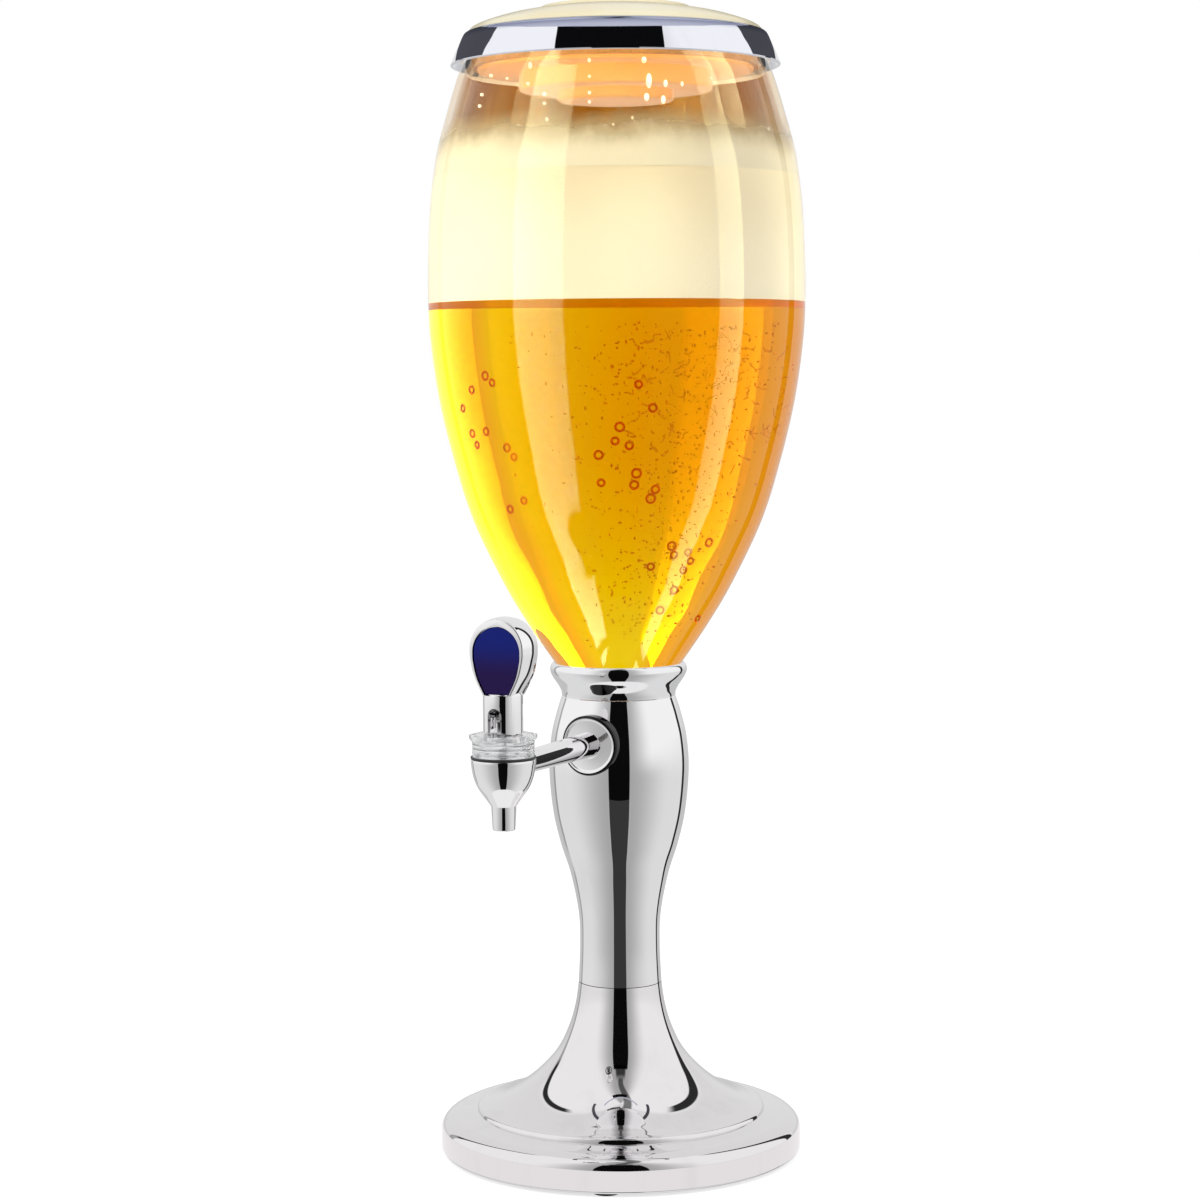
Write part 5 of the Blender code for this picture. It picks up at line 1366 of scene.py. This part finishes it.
# Drops. Beer splashed up when the barrel was filled: beads hang on the inside of the wall above
# the foam. They are painted glowing white, a painted highlight for the glints they catch.
drop_places_mm = (
    (-53, 485, 1.3, 1.0), (-46, 483, 1.0, 1.0), (-36, 488, 1.3, 1.7), (-37, 480, 1.1, 1.0),
    (-30, 475, 1.2, 1.1), (-30, 471, 1.1, 1.0), (-29, 464, 1.3, 1.3), (-57, 477, 1.2, 1.0),
    (-58, 472, 1.2, 1.0), (-11, 489, 1.3, 1.2), (-11, 482, 1.1, 1.0), (-11, 475, 1.2, 1.0),
    (-11, 471, 1.0, 1.2), (12, 489, 1.9, 1.2), (14, 480, 2.0, 2.6), (13, 473, 1.8, 1.5),
    (21, 479, 1.5, 1.7), (20, 472, 1.6, 1.8), (28, 479, 1.1, 1.6), (-60, 460, 1.0, 1.0),
    (-56, 456, 1.0, 2.0), (-41, 462, 1.1, 1.0), (-52, 451, 0.9, 1.6), (7, 464, 0.9, 1.3),
    (14, 462, 0.9, 1.6), (40, 482, 0.7, 1.0), (52, 455, 0.8, 1.0), (45, 454, 0.7, 1.0),
)
drop_share = 0.62
drop_off_wall = 0.0004
drop_specks = 110
drop_band = (0.446, 0.016)
drop_side = 0.066
drop_size = (0.0002, 0.0004)
drop_glint_tones = ((1.0, 0.98, 0.93), (1.0, 0.93, 0.80))
drop_seed = 11


def drop_into(form, side, height, size, stretch):
    """Adds a bead that has run down the wall a little."""
    spot = on_wall(side, height, drop_off_wall + 0.3 * size)[0]
    bead_into(form, spot, size, 2, (1.0, 1.0, stretch))


# Painted highlight: the drops glow white though they are no lamp.
drop_look, drop_tree, drop_shader = plain_shader(
    "drops painted glint", Roughness=0.05, Emission_Color=(1.0, 0.97, 0.90), Emission_Strength=0.75
)
drop_clouds = noise_in(drop_tree, object_places(drop_tree), 90.0, 1.0)
feed(drop_tree, drop_shader, Base_Color=blended(drop_tree, drop_clouds, *drop_glint_tones))
chance = random.Random(drop_seed)
drop_form = bmesh.new()
for side, height, size, stretch in drop_places_mm:
    drop_into(drop_form, side / 1000, height / 1000, drop_share * size / 1000, stretch)
for number in range(drop_specks):
    height = drop_band[0] + drop_band[1] * chance.random()
    side = drop_side * (2 * chance.random() - 1)
    size = drop_size[0] + drop_size[1] * chance.random() ** 2
    drop_into(drop_form, side, height, size, 1.0 + chance.random())
drops = as_piece("drops", drop_form, drop_look, 80.0)
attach(drops, "stand")

# The filled barrel, the collar, the lid and the tap stay out of the metal's reflections, as the white
# tent of the studio stands between.
for piece in (barrel, beer, foam, film, veil, bubbles, specks, drops, band, dome, plug, collar, tap, bonnet):
    piece.visible_glossy = False
nodes["lid_seal"].visible_glossy = False

# The floor: a plain pale tabletop that runs out of sight.
floor_half = 6.0
floor_form = bmesh.new()
bmesh.ops.create_grid(floor_form, x_segments=2, y_segments=2, size=floor_half)
floor_look, floor_tree, floor_shader = plain_shader(
    "pale tabletop",
    Base_Color=(0.50, 0.50, 0.50),
    Roughness=0.9,
    Specular_IOR_Level=0.0,
    Emission_Color=(1.0, 1.0, 1.0),
)
floor_rays = add(floor_tree, "LightPath").outputs
floor_seen = worked(floor_tree, "MAXIMUM", floor_rays["Is Camera Ray"], floor_rays["Is Transmission Ray"])
feed(floor_tree, floor_shader, Emission_Strength=product(floor_tree, floor_seen, 0.72))
floor = as_piece("floor", floor_form, floor_look)
floor.visible_glossy = False

# The studio: white all round for the camera, and for metal and glass a white room with tall dark
# flags, which draw the dark lines in the chrome.
view_azimuth = math.radians(25.0)
world = bpy.data.worlds.new("studio")
bpy.context.scene.world = world
world.use_nodes = True
sky = world.node_tree
towards = parted(sky, add(sky, "TexCoord").outputs["Generated"])
front = leaning(sky, towards, math.sin(view_azimuth), -math.cos(view_azimuth))
side = leaning(sky, towards, math.cos(view_azimuth), math.sin(view_azimuth))
azimuth = product(sky, worked(sky, "ARCTAN2", side, front), 180.0 / math.pi)
elevation = product(sky, worked(sky, "ARCSINE", towards["Z"]), 180.0 / math.pi)


def between(value, low, high, soft):
    """1 between two angles, with soft ends."""
    return product(sky, mapped(sky, value, low - soft, low), mapped(sky, value, high, high + soft, 1.0, 0.0))


def eased(share, start, end):
    """An even way from one level to another."""
    return mapped(sky, share, 0.0, 1.0, start, end, smooth=False)


away = worked(sky, "ABSOLUTE", azimuth)
high_light = mapped(sky, away, 15.0, 60.0, 0.45, 1.0)
low_light = mapped(sky, away, 15.0, 95.0, 0.42, 0.80)
floor_light = mapped(sky, elevation, -62.0, -58.0, 1.0, 0.0)
light = eased(floor_light, eased(mapped(sky, elevation, -12.0, 6.0), low_light, high_light), 0.92)
rear = product(sky, between(away, 142.0, 200.0, 8.0), worked(sky, "SUBTRACT", 1.0, floor_light))
light = eased(rear, light, product(sky, light, mapped(sky, elevation, -4.0, 10.0, 0.74, 0.84)))
dark_flags = (
    ((away, -1.0, 17.0, 1.0), (elevation, -60.0, 60.0, 2.0), 0.008),
    ((away, -1.0, 10.0, 6.0), (elevation, 60.0, 66.0, 7.0), 0.10),
    ((azimuth, 129.0, 136.5, 1.2), (elevation, -60.0, 58.0, 6.0), 0.03),
    ((azimuth, -137.0, -133.5, 1.2), (elevation, 22.0, 57.0, 6.0), 0.03),
    ((azimuth, -138.0, -133.0, 2.0), (elevation, -20.0, 22.0, 6.0), 0.45),
)
for across, up, level in dark_flags:
    light = product(sky, light, eased(product(sky, between(*across), between(*up)), 1.0, level))
over = worked(sky, "DIVIDE", 1.0, worked(sky, "MAXIMUM", towards["Z"], 0.2))
over_front = product(sky, front, over)
rail_near = mapped(sky, over_front, -0.62, 0.05, -0.09, 0.075)
rail_far = mapped(sky, over_front, 0.05, 0.32, 0.075, 0.0)
rail_off = worked(sky, "SUBTRACT", product(sky, side, over), worked(sky, "MINIMUM", rail_near, rail_far))
rail = mapped(sky, worked(sky, "ABSOLUTE", rail_off), 0.030, 0.055, 1.0, 0.0)
rail = product(sky, rail, between(over_front, -0.62, 0.34, 0.06), mapped(sky, towards["Z"], 0.5, 0.7))
light = product(sky, light, eased(rail, 1.0, 0.22))
rays = add(sky, "LightPath").outputs
through = rays["Is Transmission Ray"]
mirrored = eased(product(sky, rays["Is Glossy Ray"], worked(sky, "SUBTRACT", 1.0, through)), 1.0, light)
seen = worked(sky, "MAXIMUM", worked(sky, "MAXIMUM", rays["Is Camera Ray"], rays["Is Glossy Ray"]), through)
strength = product(sky, eased(seen, 0.62, 1.0), mirrored)
feed(sky, sky.nodes["Background"], Color=(1.0, 1.0, 1.0), Strength=strength)

# Paper close to the stand: black in front of the lid and at its ends, grey above its bevel, and a
# white band low down that the base's rim mirrors.
cool_paper = (0.88, 0.90, 1.06)
plain_paper = (1.0, 0.975, 0.985)
paper_steps = 60
paper_arcs = (
    (-30.0, 24.0, 0.1090, 0.0917, 0.5229, 0.5356, 0.004, cool_paper),
    (-180.0, -90.0, 0.145, 0.145, 0.524, 0.580, 0.085, cool_paper),
    (94.0, 180.0, 0.145, 0.145, 0.524, 0.580, 0.075, cool_paper),
    (-85.0, 85.0, 0.0917, 0.0840, 0.5356, 0.5412, 0.60, cool_paper),
    (-180.0, 180.0, 0.1200, 0.1200, -0.0300, 0.0090, 0.95, plain_paper),
)
for number, (start, end, low_reach, high_reach, low, high, glow, tint) in enumerate(paper_arcs):
    paper_form = bmesh.new()
    rows = []
    for step in range(paper_steps + 1):
        turn = view_azimuth + math.radians(start + (end - start) * step / paper_steps)
        ends = ((low_reach, low), (high_reach, high))
        rows.append(loop_into(paper_form, [(r * math.sin(turn), -r * math.cos(turn), z) for r, z in ends]))
    for first, second in zip(rows, rows[1:]):
        paper_form.faces.new((first[0], second[0], second[1], first[1]))
    shine = {"Specular_IOR_Level": 0.0, "Emission_Color": tint, "Emission_Strength": glow}
    paper_look = plain_shader(f"paper {number}", Base_Color=(0.0, 0.0, 0.0), **shine)[0]
    paper = as_piece(f"paper_{number}", paper_form, paper_look)
    paper.visible_camera = False
    paper.visible_diffuse = False
    paper.visible_transmission = False
    paper.visible_shadow = False

# Soft boxes. Two wide ones light the room. Two tall strips draw the barrel's highlights and a small
# panel lights the column's foot, each linked to the one piece it is for.
strip_tint = (1.0, 0.96, 0.60)


def lamp(name, size, power, azimuth_degrees, distance, height, aim, only=None, tint=(1.0, 1.0, 1.0)):
    """A rectangular soft box that looks at a point on the stand's axis."""
    data = bpy.data.lights.new(name, "AREA")
    data.shape = "RECTANGLE"
    data.size, data.size_y = size
    data.energy = power
    data.color = tint
    box = bpy.data.objects.new(name, data)
    turn = view_azimuth + math.radians(azimuth_degrees)
    box.location = (distance * math.sin(turn), -distance * math.cos(turn), height)
    box.rotation_euler = (Vector((0.0, 0.0, aim)) - box.location).to_track_quat("-Z", "Y").to_euler()
    bpy.context.scene.collection.objects.link(box)
    box.visible_camera = False
    box.visible_transmission = False
    if only is None:
        box.visible_glossy = False
        return
    box.visible_diffuse = False
    box.light_linking.receiver_collection = bpy.data.collections.new(name + " receivers")
    box.light_linking.receiver_collection.objects.link(only)
    data.use_nodes = True
    tree = data.node_tree
    tree.nodes.clear()
    mirror_only = worked(tree, "SUBTRACT", 1.0, add(tree, "LightPath").outputs["Is Transmission Ray"])
    glow = add(tree, "Emission", Strength=mirror_only)
    add(tree, "OutputLight", Surface=glow.outputs["Emission"])


lamp("key", (1.2, 1.2), 14.0, -35.0, 1.6, 1.5, 0.15)
lamp("fill", (1.4, 1.4), 8.0, 55.0, 1.8, 1.0, 0.15)
lamp("left strip", (0.33, 3.2), 115.0, -45.0, 0.60, 0.0, 0.0, barrel, strip_tint)
lamp("right strip", (0.18, 3.2), 34.0, 68.5, 0.60, 0.0, 0.0, barrel, strip_tint)
lamp("column panel", (0.060, 0.142), 0.0010, 0.0, 0.10, 0.071, 0.071, column)

# The camera stands a little above the collar, to the right of the tap.
camera_distance = 1.2975
camera_height = 0.3574
camera_dip = 4.57
camera_roll = 0.32
camera_turn = 0.34
camera_data = bpy.data.cameras.new("camera")
camera_data.sensor_width = 36.0
camera_data.lens = 85.8
camera = bpy.data.objects.new("camera", camera_data)
camera_level = (camera_distance * math.sin(view_azimuth), -camera_distance * math.cos(view_azimuth))
camera.location = (*camera_level, camera_height)
camera_heading = view_azimuth + math.radians(camera_turn)
camera.rotation_euler = (math.radians(90.0 - camera_dip), math.radians(camera_roll), camera_heading)
bpy.context.scene.collection.objects.link(camera)
bpy.context.scene.camera = camera
bpy.context.scene.view_settings.view_transform = "Standard"
